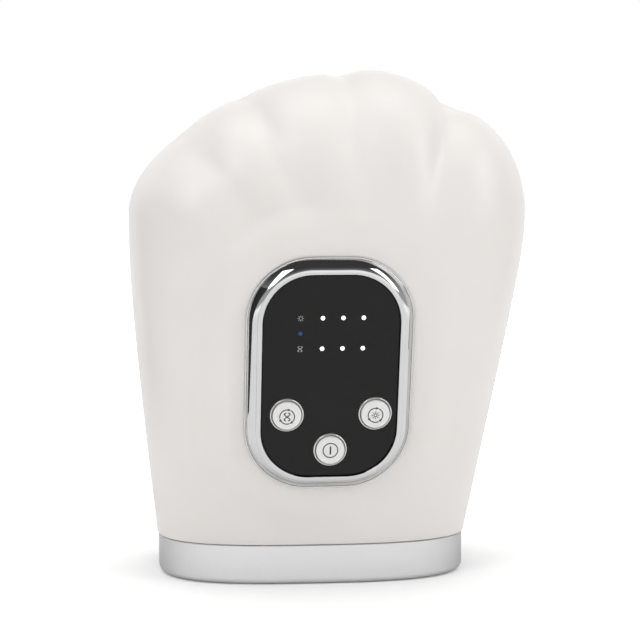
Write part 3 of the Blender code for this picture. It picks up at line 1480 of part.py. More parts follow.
def wires():
    board_top = MAIN_BOARD_Z + MAIN_BOARD_HEIGHT / 2
    board_right = MAIN_BOARD_X + MAIN_BOARD_WIDTH / 2
    board_y = main_board_back() - BOARD_THICKNESS / 2
    holder_bottom = BATTERY_LOW_Z - BATTERY_RADIUS
    x = MAIN_BOARD_X
    tube("battery_lead", flowing((
        (x, board_y, holder_bottom - FIT),
        (x, board_y - WIRE_RADIUS, (holder_bottom + board_top) / 2),
        (x, board_y, board_top + FIT),
    )), WIRE_RADIUS, "wire_red")
    back = chassis_front_y() - FIT
    motor_right = PUMP_LEFT + HEAD_LENGTH + FIT + MOTOR_LENGTH
    lead_y = back - 2 * WIRE_RADIUS
    outer_x = HALF_WIDTH * MANIFOLD_SHARES[1] + 2 * WIRE_RADIUS
    lead_z = (MANIFOLD_BOTTOM + VALVE_TOP_Z + VALVE_HEIGHT) / 2 - 2 * HOSE_BEND / 3
    tube("motor_lead", flowing((
        (motor_right + FIT, pump_middle_y() + MOTOR_RADIUS / 2, PUMP_Z - MOTOR_RADIUS / 2),
        (motor_right + 3 * WIRE_RADIUS, pump_middle_y() + MOTOR_RADIUS / 2, PUMP_Z - MOTOR_RADIUS / 2),
        (motor_right + 2 * WIRE_RADIUS, lead_y, PUMP_Z - MOTOR_RADIUS),
        (outer_x, lead_y, MANIFOLD_BOTTOM + MANIFOLD_HEIGHT),
        (outer_x, lead_y, MANIFOLD_BOTTOM),
        (VALVE_X + VALVE_WIDTH / 2, lead_y, lead_z),
        (VALVE_X - VALVE_WIDTH / 2, lead_y, lead_z),
        (board_right + HOSE_BEND, lead_y, lead_z - HOSE_BEND / 3),
        (board_right + FIT, board_y, board_top - HOSE_BEND),
    )), WIRE_RADIUS, "wire_red")
    board_bottom = MAIN_BOARD_Z - MAIN_BOARD_HEIGHT / 2
    port_inner = port_face_x() - PORT_RECESS - PORT_DEPTH
    charge_x = port_inner + 3 * WIRE_RADIUS
    charge_y = PORT_Y - CHARGE_BOARD_WIDTH / 2 - FIT
    charge_z = PORT_Z - PORT_HEIGHT / 2 - FIT - CHARGE_BOARD_THICKNESS / 2
    edge_x = HALF_WIDTH * CHASSIS_SCREW_LOW_SHARES[1] + HOSE_BEND + 3 * WIRE_RADIUS
    tube("charge_lead", flowing((
        (charge_x, charge_y, charge_z),
        (charge_x, 0.0, charge_z),
        (edge_x, -CAVITY_FRONT + 2 * WIRE_RADIUS, charge_z + HOSE_BEND),
        (edge_x, back - 3 * WIRE_RADIUS, charge_z + 2 * HOSE_BEND),
        (edge_x - 2 * HOSE_BEND, back - 3 * WIRE_RADIUS, board_bottom - HOSE_BEND),
        (board_right - HOSE_BEND, board_y, board_bottom - 6 * WIRE_RADIUS),
        (board_right - HOSE_BEND, board_y, board_bottom - 2 * WIRE_RADIUS),
        (board_right - HOSE_BEND, board_y, board_bottom - FIT),
    )), WIRE_RADIUS, "wire_red")


def build():
    global PARTS, CUTTERS
    clear_scene()
    PARTS = new_collection("hand_massager")
    CUTTERS = new_collection("cutters")
    make_materials()
    panel = panel_matrix()
    axis = control_panel(panel)
    front_shell(panel, axis)
    back_shell(panel)
    wrist_collar()
    mouth_ring()
    hand_cavity()
    soft_parts()
    chassis_plate()
    main_board(panel)
    battery(chassis_front_y())
    pump()
    air_manifold()
    valve("release", VALVE_LOW_Z)
    valve("inflate", VALVE_TOP_Z)
    hoses()
    charging_inlet()
    fasteners()
    feet()
    wires()


build()
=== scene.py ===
"""Fine shapes and finishes of the hand massager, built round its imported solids.

Metres, +Z up, in the frame of the solids: the control panel faces -Y, the palm side +Y and the thumb side +X.
"""

import json
import math

import bmesh
import bpy
import numpy as np
from mathutils import Matrix, Vector


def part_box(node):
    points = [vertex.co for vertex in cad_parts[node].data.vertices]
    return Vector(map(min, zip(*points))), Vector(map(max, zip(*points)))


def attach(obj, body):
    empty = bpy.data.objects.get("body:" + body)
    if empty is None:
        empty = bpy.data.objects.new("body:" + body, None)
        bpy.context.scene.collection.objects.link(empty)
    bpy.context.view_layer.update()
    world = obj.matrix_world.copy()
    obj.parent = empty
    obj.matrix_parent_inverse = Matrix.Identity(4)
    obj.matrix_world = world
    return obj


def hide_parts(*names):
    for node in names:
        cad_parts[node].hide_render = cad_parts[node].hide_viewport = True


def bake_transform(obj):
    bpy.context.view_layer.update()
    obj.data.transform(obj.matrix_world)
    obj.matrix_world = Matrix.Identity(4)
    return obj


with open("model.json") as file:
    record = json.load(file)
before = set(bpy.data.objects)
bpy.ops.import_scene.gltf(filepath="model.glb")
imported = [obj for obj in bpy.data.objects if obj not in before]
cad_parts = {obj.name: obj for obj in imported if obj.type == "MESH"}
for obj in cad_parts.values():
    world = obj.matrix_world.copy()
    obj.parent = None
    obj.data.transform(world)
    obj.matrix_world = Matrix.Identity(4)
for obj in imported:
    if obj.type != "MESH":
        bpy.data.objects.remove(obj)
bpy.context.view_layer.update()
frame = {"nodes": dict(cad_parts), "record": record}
nodes = frame["nodes"]

# The same form as the solids
FIT = 0.0003
HALF_WIDTH = 0.0768
WIDEST_Z = 0.140
CROWN_HEIGHT = 0.05663
CUFF_LEFT_SHARE = 0.866
CUFF_LEFT = HALF_WIDTH * CUFF_LEFT_SHARE
CUFF_RIGHT_SHARE = 0.7266
CUFF_RIGHT = HALF_WIDTH * CUFF_RIGHT_SHARE
LEFT_BEND = 0.39
RIGHT_BEND = 0.1
CROWN_SHARES = (
    (1.0, 0.0),
    (0.976, 0.349),
    (0.815, 0.639),
    (0.599, 0.829),
    (0.463, 0.937),
    (0.264, 1.009),
    (0.056, 1.009),
    (-0.123, 0.956),
    (-0.333, 0.903),
    (-0.539, 0.75),
    (-0.682, 0.633),
    (-0.832, 0.463),
    (-0.937, 0.309),
    (-1.0, 0.0),
)
CROWN_WAVES = 8
CROWN_END_WEIGHT = 100.0
FRONT_DEPTH = 0.0512
BACK_DEPTH = 0.0502
CUFF_FRONT = 0.0272
FRONT_BEND = 0.2
FRONT_SQUARENESS = 2.9
BACK_SQUARENESS = 4.5
CROWN_SQUARENESS = 2.2
WALL = 0.0026
PARTING_Y = 0.008

FAN_X = 0.0195
FAN_Z = 0.075
VALLEY_ANGLES = (-38.9, -25.1, -6.4, 15.0)
VALLEY_DEPTHS = (0.0025, 0.0047, 0.0051, 0.0077)
VALLEY_WIDTH = 0.0059
VALLEY_ROUND = 0.0015
VALLEY_SOFTNESS = 0.0050
VALLEY_FRONT_DEPTHS = (0.0050, 0.0062, 0.0062, 0.0077)
VALLEY_SOFT_Y = -0.030
RIDGE_START = 0.050
RIDGE_FULL = 0.098
RIDGE_FRONT_Y = -0.006
RIDGE_BACK_Y = 0.026

COLLAR_HEIGHT = 0.0152
COLLAR_WALL = 0.0026
COLLAR_EDGE_SHARE = 1 / 8
COLLAR_INSET = 0.0005
COLLAR_ROLL = 0.0024
COLLAR_RIM = 0.0014
COLLAR_MIDDLE = 0.6
MOUTH_WALL = 0.0020
MOUTH_LIFT = 0.0014
SHELL_BASE = COLLAR_HEIGHT + FIT

CAVITY_FRONT = 0.012
CAVITY_BACK_ROOM = 0.0102
CAVITY_BACK = BACK_DEPTH - CAVITY_BACK_ROOM
CAVITY_SIDE_ROOM = 0.0105
CAVITY_WIDEST_Z = 0.125
CAVITY_END = 0.040
CAVITY_SQUARENESS = 3.8
CAVITY_WALL = 0.0020
TRAY_DEPTH = 0.010
TRAY_Y = CAVITY_BACK - TRAY_DEPTH

PANEL_X = -0.00273
PANEL_Z = 0.08272
PANEL_TILT = 11.0
PANEL_TURN = 3.0
LAND_INSET = 0.0010
LAND_MARGIN = 0.0045
LAND_BLEND = 0.014
FASCIA_HALF_WIDTH = 0.02533
FASCIA_HALF_HEIGHT = 0.0387
FASCIA_RADIUS = 0.0182
FASCIA_THICKNESS = 0.0020
FASCIA_BELOW_LIP = 0.0008
BEZEL_WIDTH = 0.0058
BEZEL_HEIGHT = 0.0045
BEZEL_LIP = 0.0019
BEZEL_FLANGE = 0.00055
BAND_FOOT = 0.0007
BAND_BOW = 0.55
BAND_STEPS = 14
GROOVE_EDGE = 0.0001
GROOVE_RISE = 0.00015
BAND_DROP = 0.00024
LIP_OUTER_EDGE = ((-0.00005, -0.00026), (-0.0001, -0.00018))
LIP_INNER_EDGE = ((0.00035, 0.0), (0.00012, -0.00008), (0.0, -0.0003))
FASCIA_EDGE = 0.00012
OPENING_LEDGE = 0.0030
FASCIA_TOP = BEZEL_HEIGHT - FASCIA_BELOW_LIP

BUTTON_RADIUS = 0.0054
BUTTON_PROUD = 0.0016
CAP_DISH = 0.0002
CAP_EDGE = (
    (0.0, -0.00035),
    (-0.00006, -0.00018),
    (-0.0002, -0.00005),
    (-0.0004, 0.0),
    (-0.0006, -0.00003),
    (-0.0010, -0.00016),
    (-0.0016, -CAP_DISH),
)
BUTTON_FLANGE = 0.0006
BUTTON_FLANGE_THICKNESS = 0.0005
BUTTON_SPREAD = 0.01659
BUTTON_SHIFT = 0.00063
BUTTON_ROW = -0.01444
POWER_ROW = -0.02834
RING_WIDTH = 0.00065
RING_HEIGHT = 0.0006
RING_SINK = FIT * 0.9
RING_SECTION = (
    (0.0, 0.0),
    (1.0, 0.0),
    (1.0, 0.45),
    (0.9, 0.75),
    (0.7, 0.95),
    (0.5, 1.0),
    (0.3, 0.95),
    (0.1, 0.75),
    (0.0, 0.45),
)
STEM_RADIUS = 0.0017
SWITCH_TOP = -0.0046
BUTTON_PLACES = {
    "pressure": (BUTTON_SHIFT - BUTTON_SPREAD, BUTTON_ROW),
    "heat": (BUTTON_SHIFT + BUTTON_SPREAD, BUTTON_ROW),
    "power": (BUTTON_SHIFT, POWER_ROW),
}

LIGHT_RADIUS = 0.0008
LIGHT_HOLE_ROOM = FIT / 3
LIGHT_PITCH = 0.00759
LIGHT_FIRST_COLUMN = -0.00341
LIGHT_TOP_ROW = 0.02255
LIGHT_LOW_ROW = 0.01089
LIGHT_SIDE_COLUMN = -0.01161
LIGHT_COLUMNS = [LIGHT_FIRST_COLUMN + column * LIGHT_PITCH for column in range(3)]
LIGHT_ROWS = (LIGHT_TOP_ROW, LIGHT_LOW_ROW)
LIGHT_PROUD = 0.0001
LENS_DEPTH = 0.0012
LENS_EDGE = ((1.0, -0.0001), (0.9, -0.00003), (0.5, 0.0), (0.0, 0.0))
GUIDE_THICKNESS = 0.0012
GUIDE_EDGE_SHARE = 1 / 6
GUIDE_BORDER = 0.0026
GUIDE_DROP = 0.0037
CONTROL_BOARD_DEPTH = 0.0080

FOOT_RADIUS = 0.0062
FOOT_HEIGHT = 0.0022
FOOT_DISH_SHARE = 0.9
FOOT_DISH_EDGES = (0.55, 0.5)
FOOT_PAD_RADIUS = 0.0072
FOOT_PAD_RISE = 0.0004
FOOT_SPREAD = 0.036
FOOT_LEVELS = (0.027, 0.138)
POST_RADIUS = 0.0037
POST_LEVELS = (0.060, 0.128)
POST_SEAT = 0.008
COUNTERBORE_RADIUS = 0.0030
VENT_COUNT = 5
VENT_WIDTH = 0.0016
VENT_LENGTH = 0.018
VENT_PITCH = 0.0045
VENT_Z = 0.104
VENT_ROUND = 0.49
VENT_SEGMENTS = 6
SLOT_ROUND = 0.95
PORT_Z = 0.032
PORT_Y = 0.020
PORT_WIDTH = 0.0090
PORT_HEIGHT = 0.0036
INLET_ROUND = 0.92
INLET_HOLLOW_ROUND = 0.7
INLET_WALL = 0.0004
INLET_FLOOR = 0.0020
TONGUE_LOW = Vector((0.0018, 0.0014, -0.0004))
TONGUE_HIGH = Vector((-0.0009, -0.0014, 0.0004))
TONGUE_EDGE = 0.0001

NODULE_RADIUS = 0.0036
NODULE_RISE = 0.0022
NODULE_PITCH_X = 0.018
NODULE_PITCH_Z = 0.020
NODULE_FIRST_Z = 0.042
NODULE_COLUMNS = 3
NODULE_ROWS = 5
NODULE_STEPS = 9
NODULE_FULLNESS = 0.8
NODULE_LIFT_SHARE = 0.1
CHANNEL_WIDTH = 0.0016
CHANNEL_DEPTH_SHARE = 0.4
SEAM_PLACE = 0.86
SEAM_WIDTH = 0.0012
SEAM_DEPTH_SHARE = 0.35
PILLOW_SQUARENESS = 7.0
PILLOW_BOW = 0.9
PILLOW_FLATNESS = 8
PILLOW_CORNERS = 12
LINING_EDGE_SHARE = 0.4
CELL_EDGE_SHARE = 0.25
PAD_EDGE_SHARE = 0.7
LINING_CHANNELS = (-0.72, -0.48, -0.24, 0.0, 0.24, 0.48, 0.72)
CELL_CHANNELS = (-0.5, 0.0, 0.5)

# Fineness of the pieces
SHELL_CUTS = 79
CAVITY_CUTS = 47
PAD_CUTS = 63
LOOP_POINTS = 160
CORNER_POINTS = 20
ROUND_POINTS = 64
LENS_POINTS = 32
LENS_GAP = FIT / 10
QUARTER_STEPS = 8
FOOT_STEPS = 6
MOUTH_STEPS = 6
RIM_SHARE = 1 / 9
RIM_ANGLE = 60.0
SMOOTH_ANGLE = 35.0
SOFT_ANGLE = 60.0
PAD_ANGLE = 50.0
BEZEL_ANGLE = 28.0
WELD = 0.000002
OVERRUN = 0.004


# Work by hand: one object at a time in edit mode


def only(thing):
    bpy.ops.object.select_all(action="DESELECT")
    thing.select_set(True)
    bpy.context.view_layer.objects.active = thing
    return thing


def edit(thing, action="SELECT"):
    """Opens a piece in edit mode, all of it selected or none."""
    only(thing)
    bpy.ops.object.mode_set(mode="EDIT")
    bpy.ops.mesh.select_mode(type="VERT")
    bpy.ops.mesh.select_all(action=action)


def leave():
    bpy.ops.object.mode_set(mode="OBJECT")


def settle(thing):
    """Welds a piece's doubles and turns its faces outwards."""
    edit(thing)
    bpy.ops.mesh.remove_doubles(threshold=WELD)
    bpy.ops.mesh.normals_make_consistent(inside=False)
    leave()
    return thing


def applied(thing, kind, **settings):
    """Gives a piece a modifier with these settings and applies it."""
    only(thing)
    change = thing.modifiers.new(kind.lower(), kind)
    for key, value in settings.items():
        setattr(change, key, value)
    bpy.ops.object.modifier_apply(modifier=change.name)
    return thing


def combined(thing, operation, tool):
    """Adds a tool to a piece, or cuts it out of the piece."""
    applied(thing, "BOOLEAN", operation=operation, object=tool, solver="EXACT")
    bpy.data.objects.remove(tool, do_unlink=True)
    return thing


def joined(*things):
    bpy.ops.object.select_all(action="DESELECT")
    for thing in things:
        thing.select_set(True)
    bpy.context.view_layer.objects.active = things[0]
    bpy.ops.object.join()
    return things[0]


def copied(thing):
    twin = thing.copy()
    twin.data = thing.data.copy()
    bpy.context.scene.collection.objects.link(twin)
    return twin


def primitive(operator, **settings):
    """A new primitive round the origin, with nothing else selected."""
    bpy.ops.object.select_all(action="DESELECT")
    operator(location=(0.0, 0.0, 0.0), **settings)
    return bpy.context.object


def cut_cube(cuts, floorless=False):
    """A cube two units wide with its faces subdivided, and without its floor if that is asked."""
    thing = primitive(bpy.ops.mesh.primitive_cube_add, size=2.0)
    edit(thing, "DESELECT")
    if floorless:
        shape = bmesh.from_edit_mesh(thing.data)
        for face in shape.faces:
            face.select_set(face.normal.z < -0.5)
        bmesh.update_edit_mesh(thing.data)
        bpy.ops.mesh.delete(type="FACE")
    bpy.ops.mesh.select_all(action="SELECT")
    bpy.ops.mesh.subdivide(number_cuts=cuts)
    leave()
    return thing


def polar(middle, radius, angle):
    """A place at a distance and an angle from another in the plane."""
    return middle[0] + radius * math.cos(angle), middle[1] + radius * math.sin(angle)


def loft(loops, ends="open"):
    """A circle extruded through loops of as many points: closed on itself, or with its ends filled."""
    thing = primitive(bpy.ops.mesh.primitive_circle_add, vertices=len(loops[0]), radius=1.0)
    place = thing.data.attributes.new("place", "INT", "POINT")
    for number, vert in enumerate(thing.data.vertices):
        place.data[number].value = number
        vert.co = loops[0][number]
    edit(thing)
    if ends == "filled":
        bpy.ops.mesh.edge_face_add()
        bpy.ops.mesh.select_all(action="SELECT")
    following = list(loops[1:])
    if ends == "closed":
        following.append(loops[0])
    for loop in following:
        bpy.ops.mesh.extrude_region_move()
        shape = bmesh.from_edit_mesh(thing.data)
        mark = shape.verts.layers.int["place"]
        for vert in shape.verts:
            if vert.select:
                vert.co = loop[vert[mark]]
        bmesh.update_edit_mesh(thing.data)
    leave()
    thing.data.attributes.remove(thing.data.attributes["place"])
    return settle(thing)


def round_loop(radius, height, place=(0.0, 0.0), points=ROUND_POINTS):
    """A level circle."""
    angles = [2.0 * math.pi * step / points for step in range(points)]
    return [Vector((*polar(place, radius, angle), height)) for angle in angles]


def turned(profile, place=(0.0, 0.0), turn=None, points=ROUND_POINTS):
    """A round solid: circles through a profile of radius and height, from its bottom to its top."""
    thing = loft([round_loop(max(radius, WELD / 4), height, place, points) for radius, height in profile])
    if turn is not None:
        thing.data.transform(turn)
    return thing


def rod(start, end, radius, points=ROUND_POINTS // 2):
    """A plain round tool between two points."""
    start, end = Vector(start), Vector(end)
    along = end - start
    tool = primitive(bpy.ops.mesh.primitive_cylinder_add, vertices=points, radius=radius, depth=along.length)
    place = Matrix.Translation(start) @ along.to_track_quat("Z", "Y").to_matrix().to_4x4()
    tool.data.transform(place @ Matrix.Translation((0.0, 0.0, along.length / 2)))
    return tool


def block(low, high, bevel=0.0, segments=3):
    """A box between two corners, with rounded edges."""
    low, high = Vector(low), Vector(high)
    thing = primitive(bpy.ops.mesh.primitive_cube_add, size=1.0)
    thing.data.transform(Matrix.Translation((low + high) / 2) @ Matrix.Diagonal((*(high - low), 1.0)))
    if bevel:
        edit(thing)
        bpy.ops.mesh.bevel(offset=bevel, segments=segments, affect="EDGES")
        leave()
    return thing


def done(thing, name, slot, body, *replaced, look=None, angle=SMOOTH_ANGLE):
    """Names and shades a piece, gives it its finish, hangs it on the body it rides on and hides the solids it
    replaces.
    """
    thing.name = name
    thing.data.name = name
    only(thing)
    bpy.ops.object.shade_smooth_by_angle(angle=math.radians(angle))
    thing.data.materials.clear()
    thing.data.materials.append(look or LOOKS[slot])
    if body is not None:
        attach(thing, body)
    if replaced:
        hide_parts(*replaced)
    return thing


# The mitten form


def smooth(t):
    t = min(max(t, 0.0), 1.0)
    return t * t * (3.0 - 2.0 * t)


def eased(t, bend):
    """Runs from 0 to 1 with t: flat at first, then nearly straight."""
    return (math.hypot(t, bend) - bend) / (math.hypot(1.0, bend) - bend)


def body_section(z):
    """Distances from the origin's axis to the left, right, front and back of the body at height z."""
    t = min(max((WIDEST_Z - z) / (WIDEST_Z - SHELL_BASE), 0.0), 1.0)
    left = HALF_WIDTH - (HALF_WIDTH - CUFF_LEFT) * eased(t, LEFT_BEND)
    right = HALF_WIDTH - (HALF_WIDTH - CUFF_RIGHT) * eased(t, RIGHT_BEND)
    front = FRONT_DEPTH - (FRONT_DEPTH - CUFF_FRONT) * eased(t, FRONT_BEND)
    return left, right, front, BACK_DEPTH


def cavity_section(z):
    left, right, _, _ = body_section(z)
    return left - CAVITY_SIDE_ROOM, right - CAVITY_SIDE_ROOM, CAVITY_FRONT, CAVITY_BACK


def middle_and_half(section):
    left, right, front, back = section
    return (right - left) / 2, (back - front) / 2, (left + right) / 2, (front + back) / 2


def crown_waves():
    places = [(x * HALF_WIDTH, z * CROWN_HEIGHT) for x, z in CROWN_SHARES]
    angles = [math.atan2(z, x) for x, z in places]
    rows = [[math.cos(wave * angle) for wave in range(CROWN_WAVES)] for angle in angles]
    radii = [math.hypot(x, z) for x, z in places]
    weights = np.ones(len(places))
    weights[[0, -1]] = CROWN_END_WEIGHT
    terms = np.linalg.lstsq(np.array(rows) * weights[:, None], np.array(radii) * weights, rcond=None)[0]
    return [float(term) for term in terms]


CROWN_TERMS = crown_waves()


def body_reach(angle):
    return sum(term * math.cos(wave * angle) for wave, term in enumerate(CROWN_TERMS))


def cavity_reach(angle):
    _, _, half_width, _ = middle_and_half(cavity_section(CAVITY_WIDEST_Z))
    across = abs(math.cos(angle)) / half_width
    up = abs(math.sin(angle)) / CAVITY_END
    return (across**CROWN_SQUARENESS + up**CROWN_SQUARENESS) ** (-1.0 / CROWN_SQUARENESS)


def pod_point(at, section, base, widest, reach, front_power, back_power):
    """Carries a point of the cube to the form: z below 0 is the sleeve, above 0 the rounded end."""
    across, deep, up = at
    z = base + (up + 1.0) * (widest - base) if up < 0.0 else widest
    middle_x, middle_y, half_width, half_depth = middle_and_half(section(z))
    power = back_power if deep > 0.0 else front_power
    x = across * half_width
    y = deep * half_depth
    rise = 0.0
    limit = half_width
    if up > 0.0:
        rise = up * reach(math.pi / 2)
        angle = math.atan2(rise, x)
        limit = reach(angle)
        power += (CROWN_SQUARENESS - power) * math.sin(angle) ** 2
    outward = math.hypot(x, rise)
    size = ((outward / limit) ** power + (abs(y) / half_depth) ** power) ** (1.0 / power)
    return Vector((middle_x + x / size, middle_y + y / size, z + rise / size))


def ridge_depth(point):
    """How deep the valleys between the finger ridges are at a point of the body: rounder toward the front."""
    x = point.x - FAN_X
    z = point.z - FAN_Z
    radius = math.hypot(x, z)
    angle = math.degrees(math.atan2(x, z))
    fade = smooth((radius - RIDGE_START) / (RIDGE_FULL - RIDGE_START))
    fade *= 1.0 - smooth((point.y - RIDGE_FRONT_Y) / (RIDGE_BACK_Y - RIDGE_FRONT_Y))
    forward = smooth((point.y - RIDGE_FRONT_Y) / (VALLEY_SOFT_Y - RIDGE_FRONT_Y))
    rounding = VALLEY_ROUND + VALLEY_SOFTNESS * forward
    depth = 0.0
    for valley, edge, front in zip(VALLEY_ANGLES, VALLEY_DEPTHS, VALLEY_FRONT_DEPTHS):
        off = math.radians(angle - valley) * radius
        deep = edge + (front - edge) * forward
        depth += deep * math.exp((rounding - VALLEY_ROUND - math.hypot(off, rounding)) / VALLEY_WIDTH)
    return fade * depth


def panel_matrix():
    turn, tilt = math.radians(PANEL_TURN), math.radians(PANEL_TILT)
    right = Vector((math.cos(turn), math.sin(turn), 0.0))
    out = Vector((math.sin(turn) * math.cos(tilt), -math.cos(turn) * math.cos(tilt), -math.sin(tilt)))
    up = out.cross(right)
    made = Matrix((right, up, out)).transposed().to_4x4()
    made.translation = Vector((PANEL_X, LAND_INSET - body_section(PANEL_Z)[2], PANEL_Z))
    return made


PANEL = panel_matrix()
PANEL_INVERSE = PANEL.inverted()


def outside_outline(x, y, half_width, half_height, radius):
    over_x = max(abs(x) - (half_width - radius), 0.0)
    over_y = max(abs(y) - (half_height - radius), 0.0)
    return max(math.hypot(over_x, over_y) - radius, 0.0)


def landed(point):
    """Presses a point of the front flat where the panel sits."""
    local = PANEL_INVERSE @ point
    if abs(local.z) >= FASCIA_HALF_WIDTH or point.y >= 0.0:
        return point
    grow = BEZEL_WIDTH + LAND_MARGIN
    half_width, half_height = FASCIA_HALF_WIDTH + grow, FASCIA_HALF_HEIGHT + grow
    away = outside_outline(local.x, local.y, half_width, half_height, FASCIA_RADIUS + grow)
    local.z *= smooth(away / LAND_BLEND)
    return PANEL @ local


def body_point(at):
    """A cube point on the body's skin, with the finger ridges and the flat land under the panel."""
    point = pod_point(at, body_section, SHELL_BASE, WIDEST_Z, body_reach, FRONT_SQUARENESS, BACK_SQUARENESS)
    middle_x, middle_y, _, _ = middle_and_half(body_section(point.z))
    spine = Vector((middle_x, middle_y, min(point.z, WIDEST_Z)))
    inward = (spine - point).normalized()
    return landed(point + inward * ridge_depth(point))


def cavity_point(at):
    power = CAVITY_SQUARENESS
    return pod_point(at, cavity_section, SHELL_BASE, CAVITY_WIDEST_Z, cavity_reach, power, power)


def skin(cuts, carry):
    """A cube without its floor, subdivided, each corner carried to the form."""
    thing = cut_cube(cuts, floorless=True)
    for vert in thing.data.vertices:
        vert.co = carry(vert.co)
    return thing


def one_side(thing, plane_y, front):
    """Keeps the part of an open skin in front of a plane across Y, or behind it."""
    edit(thing)
    normal = (0.0, 1.0 if front else -1.0, 0.0)
    bpy.ops.mesh.bisect(plane_co=(0.0, plane_y, 0.0), plane_no=normal, clear_outer=True)
    leave()
    return thing


def section_loop(section, inset, z, front_power, back_power):
    """A level loop, set in from a section by the same amount all round."""
    middle_x, middle_y, half_width, half_depth = middle_and_half(section)
    half_width -= inset
    half_depth -= inset
    points = []
    for step in range(LOOP_POINTS):
        angle = 2.0 * math.pi * step / LOOP_POINTS
        x, y = math.cos(angle), math.sin(angle)
        power = back_power if y > 0.0 else front_power
        size = (abs(x) ** power + abs(y) ** power) ** (1.0 / power)
        points.append(Vector((middle_x + half_width * x / size, middle_y + half_depth * y / size, z)))
    return points


def panel_loop(grow, height):
    """The panel's outline, grown by the same amount all round, at a height over the land."""
    half_width = FASCIA_HALF_WIDTH + grow
    half_height = FASCIA_HALF_HEIGHT + grow
    radius = FASCIA_RADIUS + grow
    points = []
    for quarter, (sx, sy) in enumerate(((1, 1), (-1, 1), (-1, -1), (1, -1))):
        for step in range(CORNER_POINTS + 1):
            angle = math.radians(90.0 * (quarter + step / CORNER_POINTS))
            x = sx * (half_width - radius) + radius * math.cos(angle)
            y = sy * (half_height - radius) + radius * math.sin(angle)
            points.append(Vector((x, y, height)))
    return points


# Finishes


def feed(made, node, **settings):
    """Sets a node's sockets and options by name, or links a socket that is given. A _ stands for a blank."""
    for key, value in settings.items():
        socket = key.replace("_", " ")
        if socket not in node.inputs:
            setattr(node, key, value)
        elif isinstance(value, bpy.types.NodeSocket):
            made.node_tree.links.new(value, node.inputs[socket])
        else:
            node.inputs[socket].default_value = value
    return node


def finish(name, colour, roughness, metallic=0.0, **settings):
    """A new material and its shader."""
    made = bpy.data.materials.new(name)
    made.use_nodes = True
    shader = made.node_tree.nodes["Principled BSDF"]
    feed(made, shader, Base_Color=(*colour, 1.0), Roughness=roughness, Metallic=metallic, **settings)
    made.diffuse_color = (*colour, 1.0)
    return made, shader


def add(made, kind, **settings):
    """A node with these options, values and feeding sockets."""
    return feed(made, made.node_tree.nodes.new(kind), **settings)


def placed(made):
    """The object's own coordinates."""
    return add(made, "ShaderNodeTexCoord").outputs["Object"]


def noise(made, scale, detail=2.0, stretch=None):
    """Noise on the object's own coordinates."""
    place = placed(made)
    if stretch is not None:
        place = add(made, "ShaderNodeMapping", Scale=stretch, Vector=place).outputs["Vector"]
    return add(made, "ShaderNodeTexNoise", Scale=scale, Detail=detail, Vector=place).outputs["Fac"]


def ranged(made, value, low, high, start=0.0, end=1.0, kind="LINEAR"):
    """A value carried from one range to another."""
    spread = add(made, "ShaderNodeMapRange", interpolation_type=kind, Value=value)
    feed(made, spread, From_Min=start, From_Max=end, To_Min=low, To_Max=high)
    return spread.outputs["Result"]


def mixed(made, factor, first, second, kind="FLOAT"):
    return add(made, "ShaderNodeMix", data_type=kind, Factor=factor, A=first, B=second).outputs["Result"]


def computed(made, operation, first, second):
    """One value worked out from two sockets."""
    node = add(made, "ShaderNodeMath", operation=operation)
    for value, socket in zip((first, second), node.inputs):
        made.node_tree.links.new(value, socket)
    return node.outputs["Value"]


def tinted(made, shader, value, low, high):
    """Lets the base colour run between two close colours."""
    ramp = add(made, "ShaderNodeValToRGB", Fac=value)
    first, last = ramp.color_ramp.elements
    first.color, last.color = (*low, 1.0), (*high, 1.0)
    first.position, last.position = 0.3, 0.7
    feed(made, shader, Base_Color=ramp.outputs["Color"])


def bumped(made, shader, value, depth):
    bump = add(made, "ShaderNodeBump", Height=value, Distance=depth, Strength=1.0)
    feed(made, shader, Normal=bump.outputs["Normal"])


def grained(made, shader, tint=None, gloss=None, bump=None):
    """Noise in the colour, the gloss and the relief: a scale, then the ends of its range or its depth."""
    if tint is not None:
        scale, low, high = tint
        tinted(made, shader, noise(made, scale), low, high)
    if gloss is not None:
        scale, detail, low, high = gloss
        feed(made, shader, Roughness=ranged(made, noise(made, scale, detail), low, high))
    if bump is not None:
        scale, depth = bump
        bumped(made, shader, noise(made, scale), depth)
    return made


def plain_plastic(name, colour, roughness, grain=2200.0, depth=0.00002, spread=0.04, shift=0.06):
    """Moulded plastic: a fine spark-eroded grain, a slightly uneven gloss and a faint cloudiness."""
    tint = (45.0, [c * (1.0 - shift) for c in colour], colour)
    gloss = (160.0, 3.0, roughness - spread, roughness + spread)
    return grained(*finish(name, colour, roughness), tint, gloss, (grain, depth))


def pearl_plastic():
    """The shell: warm white, satin, with a clear coat over a very fine grain."""
    made, shader = finish("pearl_white", (0.765, 0.735, 0.71), 0.42, Coat_Weight=0.25, Coat_Roughness=0.3)
    feed(made, shader, Subsurface_Weight=0.05, Subsurface_Radius=(0.004, 0.003, 0.0025))
    tint = (22.0, (0.755, 0.724, 0.698), (0.775, 0.746, 0.722))
    return grained(made, shader, tint, (120.0, 3.0, 0.38, 0.46), (1800.0, 0.000008))


def silver_paint():
    """The collar: metallic paint with fine flake, its colour painted darker toward grazing view angles as
    shade on the sides that turn away.
    """
    made, shader = finish("silver_paint", (0.66, 0.66, 0.67), 0.36, 0.5, Coat_Weight=0.3, Coat_Roughness=0.12)
    specks = noise(made, 5200.0, 1.0)
    flake = mixed(made, specks, (0.74, 0.74, 0.75, 1.0), (0.86, 0.86, 0.868, 1.0), "RGBA")
    # Painted shade: the base colour darkens to grey where the surface turns away from the view.
    facing = add(made, "ShaderNodeLayerWeight", Blend=0.5).outputs["Facing"]
    feed(made, shader, Base_Color=mixed(made, facing, flake, (0.27, 0.27, 0.275, 1.0), "RGBA"))
    bumped(made, shader, specks, 0.000006)
    return grained(made, shader, gloss=(150.0, 3.0, 0.32, 0.4))


